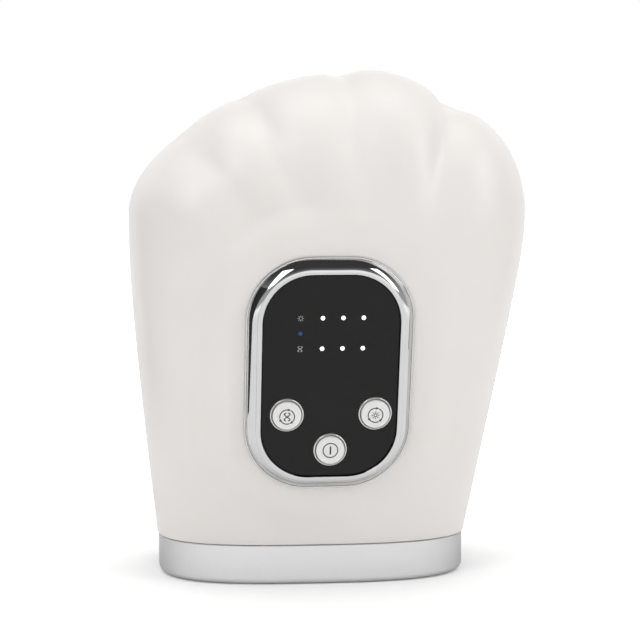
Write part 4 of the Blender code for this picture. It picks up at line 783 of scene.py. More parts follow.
def chrome_plate():
    tint = (60.0, (0.58, 0.585, 0.59), (0.62, 0.62, 0.62))
    return grained(*finish("chrome", (0.60, 0.60, 0.60), 0.05, 1.0), tint, (260.0, 4.0, 0.035, 0.075))


def ring_silver():
    """The thin rings round the buttons."""
    tint = (700.0, (0.69, 0.69, 0.685), (0.75, 0.75, 0.745))
    return grained(*finish("ring_silver", (0.72, 0.72, 0.715), 0.22, 0.7), tint, (300.0, 3.0, 0.18, 0.26))


def satin_silver():
    """The buttons: satin silver paint with a fine grain."""
    made, shader = finish("button_silver", (0.75, 0.745, 0.735), 0.34, 0.2)
    tint = (900.0, (0.73, 0.725, 0.715), (0.77, 0.765, 0.755))
    return grained(made, shader, tint, (300.0, 3.0, 0.3, 0.38), (2600.0, 0.000005))


def black_gloss():
    """The fascia: glossy black acrylic with a trace of wiping marks in its gloss."""
    made, shader = finish("black_gloss", (0.007, 0.007, 0.0067), 0.09, Specular_IOR_Level=0.21)
    wiped = noise(made, 90.0, 5.0, (1.0, 1.0, 0.2))
    feed(made, shader, Roughness=ranged(made, wiped, 0.07, 0.12))
    return grained(made, shader, (30.0, (0.0065, 0.0065, 0.0062), (0.0078, 0.0078, 0.0075)))


def lit(name, colour, strength):
    """A lens with a lamp behind it, brighter in its middle than at its rim."""
    made, shader = finish(name, colour, 0.25, Emission_Color=(*colour, 1.0))
    facing = add(made, "ShaderNodeLayerWeight", Blend=0.35).outputs["Facing"]
    feed(made, shader, Emission_Strength=ranged(made, facing, strength, strength / 2))
    return grained(made, shader, bump=(3000.0, 0.000005))


def clear_plastic():
    """The light guide, hidden under the fascia."""
    tint = (500.0, (0.76, 0.78, 0.81), (0.84, 0.86, 0.89))
    return grained(*finish("light_guide_plastic", (0.80, 0.82, 0.85), 0.18), tint)


def brushed_metal(name, colour, roughness):
    """Drawn or brushed steel, its lines along one axis."""
    made, shader = finish(name, colour, roughness, 1.0)
    lines = noise(made, 700.0, 3.0, (1.0, 12.0, 12.0))
    feed(made, shader, Roughness=ranged(made, lines, roughness - 0.1, roughness + 0.12))
    bumped(made, shader, lines, 0.00001)
    return grained(made, shader, (140.0, [c * 0.86 for c in colour], colour))


def moulded_rubber(name, colour, roughness=0.72, grain=1500.0):
    made, shader = finish(name, colour, roughness, Sheen_Weight=0.1)
    tint = (70.0, [c * 0.8 for c in colour], [c * 1.15 for c in colour])
    return grained(made, shader, tint, (200.0, 3.0, roughness - 0.1, roughness + 0.1), (grain, 0.00003))


def woven_fabric():
    """The cavity's lining: a fine plain weave of dark grey yarn."""
    made, shader = finish("liner_fabric", (0.16, 0.16, 0.17), 0.9, Sheen_Weight=0.35, Sheen_Roughness=0.5)
    yarns = []
    for axis in ("X", "Z"):
        wave = add(made, "ShaderNodeTexWave", bands_direction=axis, Vector=placed(made))
        feed(made, wave, Scale=260.0, Distortion=0.6, Detail_Scale=2.0)
        yarns.append(wave.outputs["Fac"])
    weave = computed(made, "MULTIPLY", *yarns)
    tinted(made, shader, weave, (0.10, 0.10, 0.108), (0.21, 0.21, 0.222))
    bumped(made, shader, weave, 0.0002)
    return made


def circuit_board():
    """Green solder mask over a grid of copper tracks."""
    made, shader = finish("board_green", (0.02, 0.16, 0.06), 0.35)
    upright = (math.radians(90.0), 0.0, 0.0)
    place = add(made, "ShaderNodeMapping", Rotation=upright, Vector=placed(made)).outputs["Vector"]
    tracks = add(made, "ShaderNodeTexBrick", Scale=90.0, Mortar_Size=0.02, Vector=place)
    feed(made, tracks, Color1=(0.02, 0.15, 0.055, 1.0), Color2=(0.025, 0.18, 0.07, 1.0))
    feed(made, tracks, Mortar=(0.05, 0.27, 0.10, 1.0))
    feed(made, shader, Base_Color=tracks.outputs["Color"])
    bumped(made, shader, tracks.outputs["Fac"], 0.00004)
    return made


def battery_wrap():
    """Shrink sleeve on the cells."""
    made, shader = finish("battery_blue", (0.05, 0.12, 0.32), 0.3)
    wrinkles = noise(made, 180.0, 2.0, (3.0, 1.0, 1.0))
    feed(made, shader, Roughness=ranged(made, wrinkles, 0.22, 0.4))
    bumped(made, shader, wrinkles, 0.00006)
    return grained(made, shader, (60.0, (0.04, 0.10, 0.28), (0.06, 0.14, 0.36)))


def heater_film():
    """Amber film with the heater's winding track showing through."""
    made, shader = finish("heater_orange", (0.55, 0.25, 0.05), 0.35)
    track = add(made, "ShaderNodeTexWave", bands_direction="Z", Vector=placed(made))
    feed(made, track, Scale=60.0, Distortion=2.0)
    tinted(made, shader, track.outputs["Fac"], (0.58, 0.27, 0.06), (0.40, 0.16, 0.03))
    return made


def cell_film():
    """Welded film of the air cell: milky, slightly wrinkled."""
    made, shader = finish("air_cell_film", (0.55, 0.57, 0.60), 0.4, Coat_Weight=0.3)
    bumped(made, shader, noise(made, 260.0, 3.0), 0.0002)
    return grained(made, shader, (40.0, (0.50, 0.52, 0.55), (0.58, 0.60, 0.63)))


LOOKS = {
    "pearl_white": pearl_plastic(),
    "silver_paint": silver_paint(),
    "chrome": chrome_plate(),
    "black_gloss": black_gloss(),
    "button_silver": satin_silver(),
    "ring_silver": ring_silver(),
    "light_white": plain_plastic("light_white", (0.85, 0.87, 0.90), 0.2, depth=0.000005),
    "grey_plastic": plain_plastic("grey_plastic", (0.30, 0.30, 0.31), 0.5),
    "black_plastic": plain_plastic("black_plastic", (0.03, 0.03, 0.03), 0.5, shift=0.2),
    "liner_fabric": woven_fabric(),
    "air_cell_film": cell_film(),
    "heater_orange": heater_film(),
    "silicone": moulded_rubber("silicone", (0.10, 0.10, 0.11)),
    "board_green": circuit_board(),
    "steel": brushed_metal("steel", (0.55, 0.55, 0.56), 0.32),
    "battery_blue": battery_wrap(),
    "foam": moulded_rubber("foam", (0.08, 0.08, 0.08), 0.88, 700.0),
    "wire_red": plain_plastic("wire_red", (0.45, 0.03, 0.03), 0.45, shift=0.2),
}
PRINT = plain_plastic("print_grey", (0.045, 0.045, 0.048), 0.5, depth=0.000004)
PALE_PRINT = plain_plastic("print_pale", (0.42, 0.43, 0.45), 0.5, depth=0.000004)

for part in frame["record"]["subparts"]:
    held = nodes[part["node"]].data
    held.materials.clear()
    held.materials.append(LOOKS[part["material_slot"]])


# Shells


def post_places():
    places = []
    for z in POST_LEVELS:
        middle_x, _, half_width, _ = middle_and_half(body_section(z))
        reach = half_width - WALL - FIT - POST_RADIUS
        places += [(middle_x - reach, z, -1), (middle_x + reach, z, 1)]
    return places


def squared(share, power):
    """How far out a squared section still is at this share of its other half."""
    return max(1.0 - abs(share) ** power, 0.0) ** (1.0 / power)


def back_face_y(x, z):
    """Y of the back's outer face at a place in the front view."""
    middle_x, middle_y, half_width, half_depth = middle_and_half(body_section(z))
    return middle_y + half_depth * squared((x - middle_x) / half_width, BACK_SQUARENESS)


def port_face_x():
    middle_x, middle_y, half_width, half_depth = middle_and_half(body_section(PORT_Z))
    return middle_x + half_width * squared((PORT_Y - middle_y) / half_depth, BACK_SQUARENESS)


def foot_places():
    places = []
    for z in FOOT_LEVELS:
        middle_x = middle_and_half(body_section(z))[0]
        places += [(middle_x - FOOT_SPREAD, z), (middle_x + FOOT_SPREAD, z)]
    return places


def walled(thing, wall):
    """Gives an open skin its wall and rounds the rims."""
    applied(thing, "SOLIDIFY", thickness=wall, offset=-1.0)
    rim = {"width": wall * RIM_SHARE, "segments": 2, "angle_limit": math.radians(RIM_ANGLE)}
    applied(thing, "BEVEL", limit_method="ANGLE", **rim)
    return thing


def back_posts():
    """The screw posts behind the parting and the raised pads of the feet."""
    posts = []
    for x, z, side in post_places():
        end = back_face_y(x + side * POST_RADIUS, z) - WALL / 2
        posts.append(rod((x, PARTING_Y + FIT / 2, z), (x, end, z), POST_RADIUS))
    for x, z in foot_places():
        pad_top = BACK_DEPTH + FOOT_PAD_RISE
        posts.append(rod((x, BACK_DEPTH - WALL, z), (x, pad_top, z), FOOT_PAD_RADIUS, ROUND_POINTS))
    return joined(*posts)


def back_bores():
    """The screw wells, the vents and the inlet's slot."""
    past = BACK_DEPTH + OVERRUN
    bores = []
    for x, z, _ in post_places():
        bores.append(rod((x, PARTING_Y + POST_SEAT, z), (x, past, z), COUNTERBORE_RADIUS))
    half_long, half_high = VENT_LENGTH / 2, VENT_WIDTH / 2
    for step in range(VENT_COUNT):
        z = VENT_Z + (step - (VENT_COUNT - 1) / 2) * VENT_PITCH
        low = (-half_long, BACK_DEPTH - 2 * WALL, z - half_high)
        bores.append(block(low, (half_long, past, z + half_high), VENT_WIDTH * VENT_ROUND, VENT_SEGMENTS))
    face = port_face_x()
    half_wide, half_high = PORT_WIDTH / 2 + FIT, PORT_HEIGHT / 2 + FIT
    low = (face - OVERRUN, PORT_Y - half_wide, PORT_Z - half_high)
    high = (face + OVERRUN, PORT_Y + half_wide, PORT_Z + half_high)
    bores.append(block(low, high, half_high * SLOT_ROUND, QUARTER_STEPS))
    return joined(*bores)


def shells():
    body = skin(SHELL_CUTS, body_point)
    back = one_side(copied(body), PARTING_Y + FIT / 2, False)
    front = one_side(body, PARTING_Y - FIT / 2, True)
    walled(front, WALL)
    opening = loft([panel_loop(OPENING_LEDGE, -WALL - OVERRUN), panel_loop(OPENING_LEDGE, OVERRUN)], "filled")
    opening.data.transform(PANEL)
    combined(front, "DIFFERENCE", settle(opening))
    done(front, "front_shell_fine", "pearl_white", "housing", "front_shell")
    walled(back, WALL)
    combined(back, "UNION", back_posts())
    combined(back, "DIFFERENCE", back_bores())
    done(back, "back_shell_fine", "pearl_white", "housing", "back_shell")


def collar():
    section = body_section(SHELL_BASE)
    inside = COLLAR_INSET + COLLAR_WALL
    edge = COLLAR_WALL * COLLAR_EDGE_SHARE
    levels = [(inside, COLLAR_HEIGHT - edge), (inside - edge, COLLAR_HEIGHT)]
    levels += [(COLLAR_INSET + edge, COLLAR_HEIGHT), (COLLAR_INSET, COLLAR_HEIGHT - edge)]
    levels += [(COLLAR_INSET, COLLAR_HEIGHT * COLLAR_MIDDLE), (COLLAR_INSET, COLLAR_ROLL)]
    for step in range(1, QUARTER_STEPS + 1):
        angle = math.radians(90.0 * step / QUARTER_STEPS)
        out, down = 1.0 - math.cos(angle), 1.0 - math.sin(angle)
        levels.append((COLLAR_INSET + COLLAR_ROLL * out, COLLAR_ROLL * down))
    levels += [(inside + COLLAR_RIM, 0.0), (inside + COLLAR_RIM, MOUTH_LIFT - FIT), (inside, 2 * MOUTH_LIFT)]
    loops = [section_loop(section, inset, z, FRONT_SQUARENESS, BACK_SQUARENESS) for inset, z in levels]
    done(loft(loops, "closed"), "wrist_collar_fine", "silver_paint", "housing", "wrist_collar")


def between(first, last, steps=MOUTH_STEPS):
    """The loops that lie between two others."""
    return [[a.lerp(b, step / steps) for a, b in zip(first, last)] for step in range(1, steps)]


def mouth():
    outer = body_section(SHELL_BASE)
    inner = cavity_section(SHELL_BASE)
    rim = COLLAR_INSET + COLLAR_WALL + COLLAR_RIM + FIT
    body = (FRONT_SQUARENESS, BACK_SQUARENESS)
    square = (CAVITY_SQUARENESS, CAVITY_SQUARENESS)
    start = section_loop(outer, rim, MOUTH_LIFT, *body)
    end = section_loop(inner, 0.0, COLLAR_HEIGHT, *square)
    back_end = section_loop(inner, MOUTH_WALL, COLLAR_HEIGHT, *square)
    back_start = section_loop(outer, rim + MOUTH_WALL, MOUTH_LIFT, *body)
    loops = [start, *between(start, end), end, back_end, *between(back_end, back_start), back_start]
    done(loft(loops, "closed"), "mouth_funnel", "grey_plastic", "housing", "mouth_ring")


def cavity():
    whole = skin(CAVITY_CUTS, cavity_point)
    tray = one_side(copied(whole), TRAY_Y + FIT / 2, False)
    arch = one_side(whole, TRAY_Y - FIT / 2, True)
    for thing, node in ((arch, "hand_arch"), (tray, "palm_tray")):
        applied(thing, "SOLIDIFY", thickness=CAVITY_WALL, offset=-1.0)
        done(thing, f"{node}_fine", "grey_plastic", "housing", node)


# Soft parts of the cavity


def pillow(front_y, back_y, channels, edge_share):
    """A crowned, closed pad, its faces pulled in along channels across it and along the seam round it."""
    low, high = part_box("upper_lining")
    middle = (low + high) / 2
    half_width, half_height = (high.x - low.x) / 2, (high.z - low.z) / 2
    middle_y, half_depth = (front_y + back_y) / 2, (back_y - front_y) / 2
    thing = cut_cube(PAD_CUTS)
    for vert in thing.data.vertices:
        a, b, c = vert.co
        radius = max(abs(a), abs(c))
        size = (abs(a) ** PILLOW_SQUARENESS + abs(c) ** PILLOW_SQUARENESS) ** (1.0 / PILLOW_SQUARENESS)
        if size > 0.0:
            a, c = a * radius / size, c * radius / size
        thick = edge_share + (1.0 - edge_share) * math.sqrt(max(1.0 - radius**PILLOW_FLATNESS, 0.0))
        for channel in channels:
            off = (c - channel) * half_height / CHANNEL_WIDTH
            thick *= 1.0 - CHANNEL_DEPTH_SHARE * math.exp(-(off**2))
        off = (radius - SEAM_PLACE) * half_width / SEAM_WIDTH
        thick *= 1.0 - SEAM_DEPTH_SHARE * math.exp(-(off**2))
        rounding = 1.0 - math.sqrt(max(1.0 - b * b * PILLOW_BOW, 0.0))
        inset = 1.0 - rounding * half_depth / half_width * radius**PILLOW_CORNERS
        across, deep, up = a * half_width * inset, b * half_depth * thick, c * half_height * inset
        vert.co = (middle.x + across, middle_y + deep, middle.z + up)
    return thing


def nodules(face, middle_x):
    """Rounded knobs in columns on the palm pad."""
    profile = [(0.0, -NODULE_RISE / 2), (NODULE_RADIUS, -NODULE_RISE / 2)]
    for step in range(NODULE_STEPS):
        angle = math.radians(90.0 * step / NODULE_STEPS)
        profile.append((NODULE_RADIUS * math.cos(angle) ** NODULE_FULLNESS, NODULE_RISE * math.sin(angle)))
    profile.append((0.0, NODULE_RISE))
    upright = Matrix.Rotation(math.radians(90.0), 4, "X")
    knobs = []
    for column in range(NODULE_COLUMNS):
        x = middle_x + (column - (NODULE_COLUMNS - 1) / 2) * NODULE_PITCH_X
        for row in range(NODULE_ROWS):
            place = (x, face + NODULE_RISE * NODULE_LIFT_SHARE, NODULE_FIRST_Z + row * NODULE_PITCH_Z)
            turn = Matrix.Translation(place) @ upright
            knobs.append(turned(profile, turn=turn, points=LENS_POINTS))
    return joined(*knobs)


def soft_parts():
    low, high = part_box("upper_lining")
    lining = pillow(low.y, high.y, LINING_CHANNELS, LINING_EDGE_SHARE)
    done(lining, "upper_lining_sewn", "liner_fabric", "upper_pad", "upper_lining", angle=SOFT_ANGLE)

    low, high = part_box("upper_air_cell")
    cell = pillow(low.y, high.y, CELL_CHANNELS, CELL_EDGE_SHARE)
    done(cell, "upper_air_cell_welded", "air_cell_film", None, "upper_air_cell", angle=SOFT_ANGLE)
    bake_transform(cell)

    low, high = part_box("palm_pad")
    face = low.y + NODULE_RISE
    pad = pillow(face, high.y, (), PAD_EDGE_SHARE)
    combined(pad, "UNION", nodules(face, (low.x + high.x) / 2))
    done(pad, "palm_pad_fine", "silicone", "housing", "palm_pad", angle=PAD_ANGLE)


# Control panel


def bezel():
    """A thin flange, a groove, a bowed band that leans outward and a flat silver lip."""
    top = BEZEL_HEIGHT
    start = BEZEL_WIDTH - BEZEL_FLANGE
    groove = BAND_FOOT + GROOVE_RISE
    levels = [(0.0, FIT), (BEZEL_WIDTH, FIT), (BEZEL_WIDTH, BAND_FOOT), (BEZEL_WIDTH - GROOVE_EDGE, groove)]
    levels += [(start + GROOVE_EDGE, groove), (start, BAND_FOOT)]
    for step in range(1, BAND_STEPS + 1):
        t = step / BAND_STEPS
        rise = t + BAND_BOW * t * (1.0 - t)
        levels.append((start + (BEZEL_LIP - start) * t, BAND_FOOT + (top - BAND_DROP - BAND_FOOT) * rise))
    levels += [(BEZEL_LIP + out, top + up) for out, up in LIP_OUTER_EDGE]
    levels.append((BEZEL_LIP / 2, top))
    levels += [(out, top + up) for out, up in LIP_INNER_EDGE]
    thing = loft([panel_loop(FIT + out, height) for out, height in levels], "closed")
    thing.data.transform(PANEL)
    done(settle(thing), "panel_bezel_fine", "chrome", "housing", "panel_bezel", angle=BEZEL_ANGLE)


def fascia():
    under = FASCIA_TOP - FASCIA_THICKNESS
    levels = ((0.0, under), (0.0, FASCIA_TOP - FASCIA_EDGE), (-FASCIA_EDGE, FASCIA_TOP))
    thing = loft([panel_loop(grow, height) for grow, height in levels], "filled")
    low, high = under - OVERRUN, FASCIA_TOP + OVERRUN
    tools = []
    for x, y in BUTTON_PLACES.values():
        tools.append(rod((x, y, low), (x, y, high), BUTTON_RADIUS + FIT, ROUND_POINTS))
    for x, y in light_places():
        tools.append(rod((x, y, low), (x, y, high), LIGHT_RADIUS + LIGHT_HOLE_ROOM))
    combined(thing, "DIFFERENCE", joined(*tools))
    thing.data.transform(PANEL)
    done(thing, "panel_fascia_fine", "black_gloss", "housing", "panel_fascia")


def light_places():
    places = [(LIGHT_SIDE_COLUMN, sum(LIGHT_ROWS) / 2)]
    return places + [(x, y) for y in LIGHT_ROWS for x in LIGHT_COLUMNS]


def light_guide(places, lens_bottom):
    """The clear guide under the fascia: a bar with rods up to the lenses and two legs down to the board."""
    low_x, high_x = LIGHT_SIDE_COLUMN - GUIDE_BORDER, LIGHT_COLUMNS[-1] + GUIDE_BORDER
    low_y, high_y = LIGHT_LOW_ROW - GUIDE_BORDER, LIGHT_TOP_ROW + GUIDE_BORDER
    bar_top = FASCIA_TOP - FASCIA_THICKNESS - GUIDE_DROP
    middle = bar_top - GUIDE_THICKNESS / 2
    edge = GUIDE_THICKNESS * GUIDE_EDGE_SHARE
    guide = block((low_x, low_y, bar_top - GUIDE_THICKNESS), (high_x, high_y, bar_top), edge)
    rods = [rod((x, y, middle), (x, y, lens_bottom), LIGHT_RADIUS, LENS_POINTS) for x, y in places]
    leg_y = (low_y + high_y) / 2 - GUIDE_BORDER
    for x in (low_x + GUIDE_BORDER / 2, high_x - GUIDE_BORDER / 2):
        rods.append(rod((x, leg_y, FIT - CONTROL_BOARD_DEPTH), (x, leg_y, middle), LIGHT_RADIUS, LENS_POINTS))
    combined(guide, "UNION", joined(*rods))
    guide.data.transform(PANEL)
    done(guide, "light_guide_fine", "light_white", "housing", "light_guide", look=clear_plastic())


def lights():
    """The light guide, the white lenses on its rods and the blue one of the ready light."""
    top = FASCIA_TOP + LIGHT_PROUD
    lens_bottom = top - LENS_DEPTH
    light_guide(light_places(), lens_bottom)
    start = lens_bottom + LENS_GAP
    profile = [(0.0, start), (LIGHT_RADIUS, start)]
    profile += [(LIGHT_RADIUS * share, top + up) for share, up in LENS_EDGE]
    lenses = [turned(profile, place, PANEL, LENS_POINTS) for place in light_places()]
    blue = lit("light_lens_blue", (0.008, 0.033, 0.16), 0.2)
    white = lit("light_lens_white", (0.93, 0.95, 1.0), 1.0)
    done(lenses[0], "ready_light", "light_white", "housing", look=blue)
    done(joined(*lenses[1:]), "level_lights", "light_white", "housing", look=white)


def caps():
    """The buttons, each with a stem, a flange, a rounded edge and a dish, and the rings round them."""
    top = FASCIA_TOP + BUTTON_PROUD
    flange = FASCIA_TOP - FASCIA_THICKNESS - FIT
    stem = SWITCH_TOP - FIT
    under = flange - BUTTON_FLANGE_THICKNESS
    wide = BUTTON_RADIUS + BUTTON_FLANGE
    profile = [(0.0, stem), (STEM_RADIUS, stem), (STEM_RADIUS, under), (wide, under), (wide, flange)]
    profile.append((BUTTON_RADIUS, flange))
    profile += [(BUTTON_RADIUS + out, top + up) for out, up in CAP_EDGE]
    profile += [(BUTTON_RADIUS / 2, top - CAP_DISH), (0.0, top - CAP_DISH)]
    inner = BUTTON_RADIUS + FIT
    low = FASCIA_TOP + FIT - RING_SINK
    for name, place in BUTTON_PLACES.items():
        node = f"{name}_button"
        done(turned(profile, place, PANEL), f"{name}_cap", "button_silver", node, node)
        loops = []
        for out, up in RING_SECTION:
            loops.append(round_loop(inner + RING_WIDTH * out, low + (RING_HEIGHT + RING_SINK) * up, place))
        hoop = loft(loops, "closed")
        hoop.data.transform(PANEL)
        done(settle(hoop), f"{name}_ring", "chrome", "housing", f"{node}_ring", look=LOOKS["ring_silver"])


# Printed signs

SIGN_RADIUS = 0.00277
SIGN_LINE = 0.0004
SIGN_DROP = 0.0004
SIGN_ARROW_SIZE = 0.0011
SIGN_ARROWS = {"pressure": (73.0, 202.0, 302.0), "heat": (75.0, 205.0, 307.0)}
SUN_RING_SHARE = 0.4
SUN_RAY_SHARE = 0.64
FIGURE_STEPS = 24
FIGURE_GAP = 0.17
POWER_BAR = 0.0032
POWER_BAR_WIDTH = 0.00062
PRINT_RISE = 0.00004
FIGURE_SIZE = (0.00108, 0.00153)
FIGURE_LINE = 0.00042
SUN_SIZE = 0.00148
SUN_LINE = 0.0003
SMALL_FIGURE_SIZE = (0.0008, 0.0010)
SMALL_FIGURE_LINE = 0.00021
SMALL_SUN_SIZE = 0.00115
SMALL_SUN_LINE = 0.00017
ARROW_GAPS = (6.0, 12.0)
SUN_RAYS = 8
ARC_STEP = 7.0
ARC_FEWEST_STEPS = 4
SIGN_RING_STEPS = 58
SIGN_RING_END = 354.0


def stroke(points, width, closed, height):
    """A printed line through points of the panel: a thin flat band, barely proud of what carries it."""
    points = [Vector(point) for point in points]
    count = len(points)
    rows = [[], [], [], []]
    corners = ((1.0, -PRINT_RISE), (1.0, PRINT_RISE), (-1.0, PRINT_RISE), (-1.0, -PRINT_RISE))
    for index, point in enumerate(points):
        before = points[index - 1] if closed or index > 0 else point
        after = points[(index + 1) % count] if closed or index < count - 1 else point
        along = (after - before).normalized()
        side = Vector((-along.y, along.x)) * width / 2
        for row, (way, rise) in zip(rows, corners):
            row.append(Vector((*(point + way * side), height + rise)))
    if closed:
        return loft(rows, "closed")
    return loft([[row[index] for row in rows] for index in range(count)], "filled")


def arc(middle, radius, start, end, steps=None):
    steps = steps or max(ARC_FEWEST_STEPS, int(abs(end - start) / ARC_STEP))
    angles = [math.radians(start + (end - start) * step / steps) for step in range(steps + 1)]
    return [polar(middle, radius, angle) for angle in angles]


def ring(middle, radius, width, height):
    return stroke(arc(middle, radius, 0.0, SIGN_RING_END, SIGN_RING_STEPS), width, True, height)


def wedge(middle, radius, angle, size, height):
    """An arrow head on a circle, pointing on round it clockwise."""
    out = Vector(polar((0.0, 0.0), 1.0, math.radians(angle)))
    at = Vector(middle) + out * radius
    along = Vector((out.y, -out.x)) * size / 2
    flat = [at - along + out * size / 2, at + along, at - along - out * size / 2]
    loops = [[Vector((*point, height + rise)) for point in flat] for rise in (-PRINT_RISE, PRINT_RISE)]
    return loft(loops, "filled")


def sun(middle, size, width, height, ringed=True):
    """Rays, round a ring or alone."""
    strokes = [ring(middle, size * SUN_RING_SHARE, width, height)] if ringed else []
    start = size * (SUN_RAY_SHARE if ringed else SUN_RING_SHARE)
    for step in range(SUN_RAYS):
        angle = 2.0 * math.pi * step / SUN_RAYS
        points = [polar(middle, reach, angle) for reach in (start, size)]
        strokes.append(stroke(points, width, False, height))
    return strokes


def squeeze_figure(middle, half_size, width, height):
    """An upright figure of two rounds that cross at the waist, open at its top and bottom."""
    half_width, half_height = half_size
    strokes = []
    for side in (-1.0, 1.0):
        points = []
        for step in range(FIGURE_STEPS + 1):
            t = FIGURE_GAP + (math.pi - 2.0 * FIGURE_GAP) * step / FIGURE_STEPS
            x = middle[0] + side * half_width * math.sin(2.0 * t)
            points.append((x, middle[1] + half_height * math.cos(t)))
        strokes.append(stroke(points, width, False, height))
    return strokes


def printed(marks, name, look, slot, body):
    sign = joined(*marks)
    sign.data.transform(PANEL)
    done(sign, name, slot, body, look=look)


def signs():
    cap = FASCIA_TOP + BUTTON_PROUD - CAP_DISH
    for name, heads in SIGN_ARROWS.items():
        x, y = BUTTON_PLACES[name]
        at = (x, y - SIGN_DROP)
        marks = []
        for head, behind in zip(heads, (*heads[1:], heads[0] + 360.0)):
            bow = arc(at, SIGN_RADIUS, head + ARROW_GAPS[0], behind - ARROW_GAPS[1])
            marks.append(stroke(bow, SIGN_LINE, False, cap))
            marks.append(wedge(at, SIGN_RADIUS, head, SIGN_ARROW_SIZE, cap))
        if name == "pressure":
            marks += squeeze_figure(at, FIGURE_SIZE, FIGURE_LINE, cap)
        else:
            marks += sun(at, SUN_SIZE, SUN_LINE, cap)
        printed(marks, f"{name}_sign", PRINT, "black_plastic", f"{name}_button")
    x, y = BUTTON_PLACES["power"]
    bar = [(x, y - POWER_BAR / 2), (x, y + POWER_BAR / 2)]
    marks = [ring((x, y), SIGN_RADIUS, SIGN_LINE, cap), stroke(bar, POWER_BAR_WIDTH, False, cap)]
    printed(marks, "power_sign", PRINT, "black_plastic", "power_button")
    marks = sun((LIGHT_SIDE_COLUMN, LIGHT_TOP_ROW), SMALL_SUN_SIZE, SMALL_SUN_LINE, FASCIA_TOP, False)
    at = (LIGHT_SIDE_COLUMN, LIGHT_LOW_ROW)
    marks += squeeze_figure(at, SMALL_FIGURE_SIZE, SMALL_FIGURE_LINE, FASCIA_TOP)
    printed(marks, "fascia_signs", PALE_PRINT, "light_white", "housing")


# Feet and inlet


def feet():
    bottom = BACK_DEPTH + FOOT_PAD_RISE + FIT
    upright = Matrix.Rotation(math.radians(-90.0), 4, "X")
    rounding = FOOT_HEIGHT / 2
    dish = FOOT_HEIGHT * FOOT_DISH_SHARE
    profile = [(0.0, 0.0), (FOOT_RADIUS, 0.0), (FOOT_RADIUS, rounding)]
    for step in range(1, FOOT_STEPS + 1):
        angle = math.radians(90.0 * step / FOOT_STEPS)
        out, up = math.cos(angle) - 1.0, math.sin(angle) + 1.0
        profile.append((FOOT_RADIUS + rounding * out, rounding * up))
    outer, inner = FOOT_DISH_EDGES
    profile += [(FOOT_RADIUS * outer, FOOT_HEIGHT), (FOOT_RADIUS * inner, dish), (0.0, dish)]
    for number, (x, z) in enumerate(foot_places(), start=1):
        foot = turned(profile, turn=Matrix.Translation((x, bottom, z)) @ upright)
        done(foot, f"foot_{number}", "silicone", "housing", f"rubber_foot_{number}")


def inlet():
    low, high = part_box("charge_port")
    half_high = (high.z - low.z) / 2
    shell = block(low, high, half_high * INLET_ROUND, QUARTER_STEPS)
    start = low + Vector((INLET_FLOOR, INLET_WALL, INLET_WALL))
    end = high + Vector((OVERRUN, -INLET_WALL, -INLET_WALL))
    combined(shell, "DIFFERENCE", block(start, end, half_high * INLET_HOLLOW_ROUND, QUARTER_STEPS))
    done(shell, "charge_port_fine", "steel", "housing", "charge_port")
    middle_z = (low.z + high.z) / 2
    start = Vector((low.x, low.y, middle_z)) + TONGUE_LOW
    end = Vector((high.x, high.y, middle_z)) + TONGUE_HIGH
    done(block(start, end, TONGUE_EDGE), "charge_port_tongue", "black_plastic", "housing")


# Stage, lamps and camera

# For each kind of ray: the near and the far distance, and the glow there
FLOOR_GLOWS = (("Is Camera Ray", 0.06, 0.9, 0.14, 1.0), ("Is Glossy Ray", 0.30, 1.2, 0.0, 0.55))
# For each axis of the sky: where a grade starts and ends, and its level there
WORLD_GRADES = (("Y", 0.05, 0.45, 0.0, 1.0), ("Z", 0.35, 0.75, 1.0, 0.0), ("Z", 0.05, 0.80, 0.5, 0.06))
WORLD_DIFFUSE = 0.60
FLOOR_POINTS = 96
FLOOR_RADIUS = 6.0
FLOOR_DROP = 0.0002
# For each board: its name, two corners and how far its lower front edge slants back
FLAGS = (
    ("flag_left", (-0.19, -0.17, 0.02), (-0.185, 0.07, 0.20), 0.15),
    ("flag_right", (0.21, 0.005, 0.045), (0.215, 0.035, 0.15), 0.0),
)
# For each softbox: its name, place, size and power, and whether metal mirrors it
LAMPS = (
    ("softbox_left", (-0.75, -0.75, 0.95), (0.5, 0.9), 4.1, True),
    ("softbox_right", (0.95, -0.55, 0.70), (0.35, 0.9), 3.5, True),
    ("softbox_top", (0.0, 0.1, 1.25), (0.9, 0.7), 6.2, False),
)
WHITE = (1.0, 1.0, 1.0, 1.0)
LAMP_TARGET = (0.0, 0.0, 0.11)
SENSOR_WIDTH = 36.0
CAMERA_LENS = 100.3
CAMERA_CLIP = (0.01, 50.0)
CAMERA_DISTANCE = 0.7019
CAMERA_SIDE = 5.34
CAMERA_HEIGHT = 4.86
CAMERA_TARGET = (-0.0022, 0.0, 0.0993)


def area_lamp(name, place, size, power, mirrored):
    """A softbox turned to the object. Metal mirrors it or not."""
    data = bpy.data.lights.new(name, "AREA")
    data.shape = "RECTANGLE"
    data.size, data.size_y = size
    data.energy = power
    lamp = bpy.data.objects.new(name, data)
    lamp.location = place
    lamp.rotation_mode = "QUATERNION"
    lamp.rotation_quaternion = (Vector(LAMP_TARGET) - Vector(place)).to_track_quat("-Z", "Y")
    lamp.visible_glossy = mirrored
    bpy.context.scene.collection.objects.link(lamp)


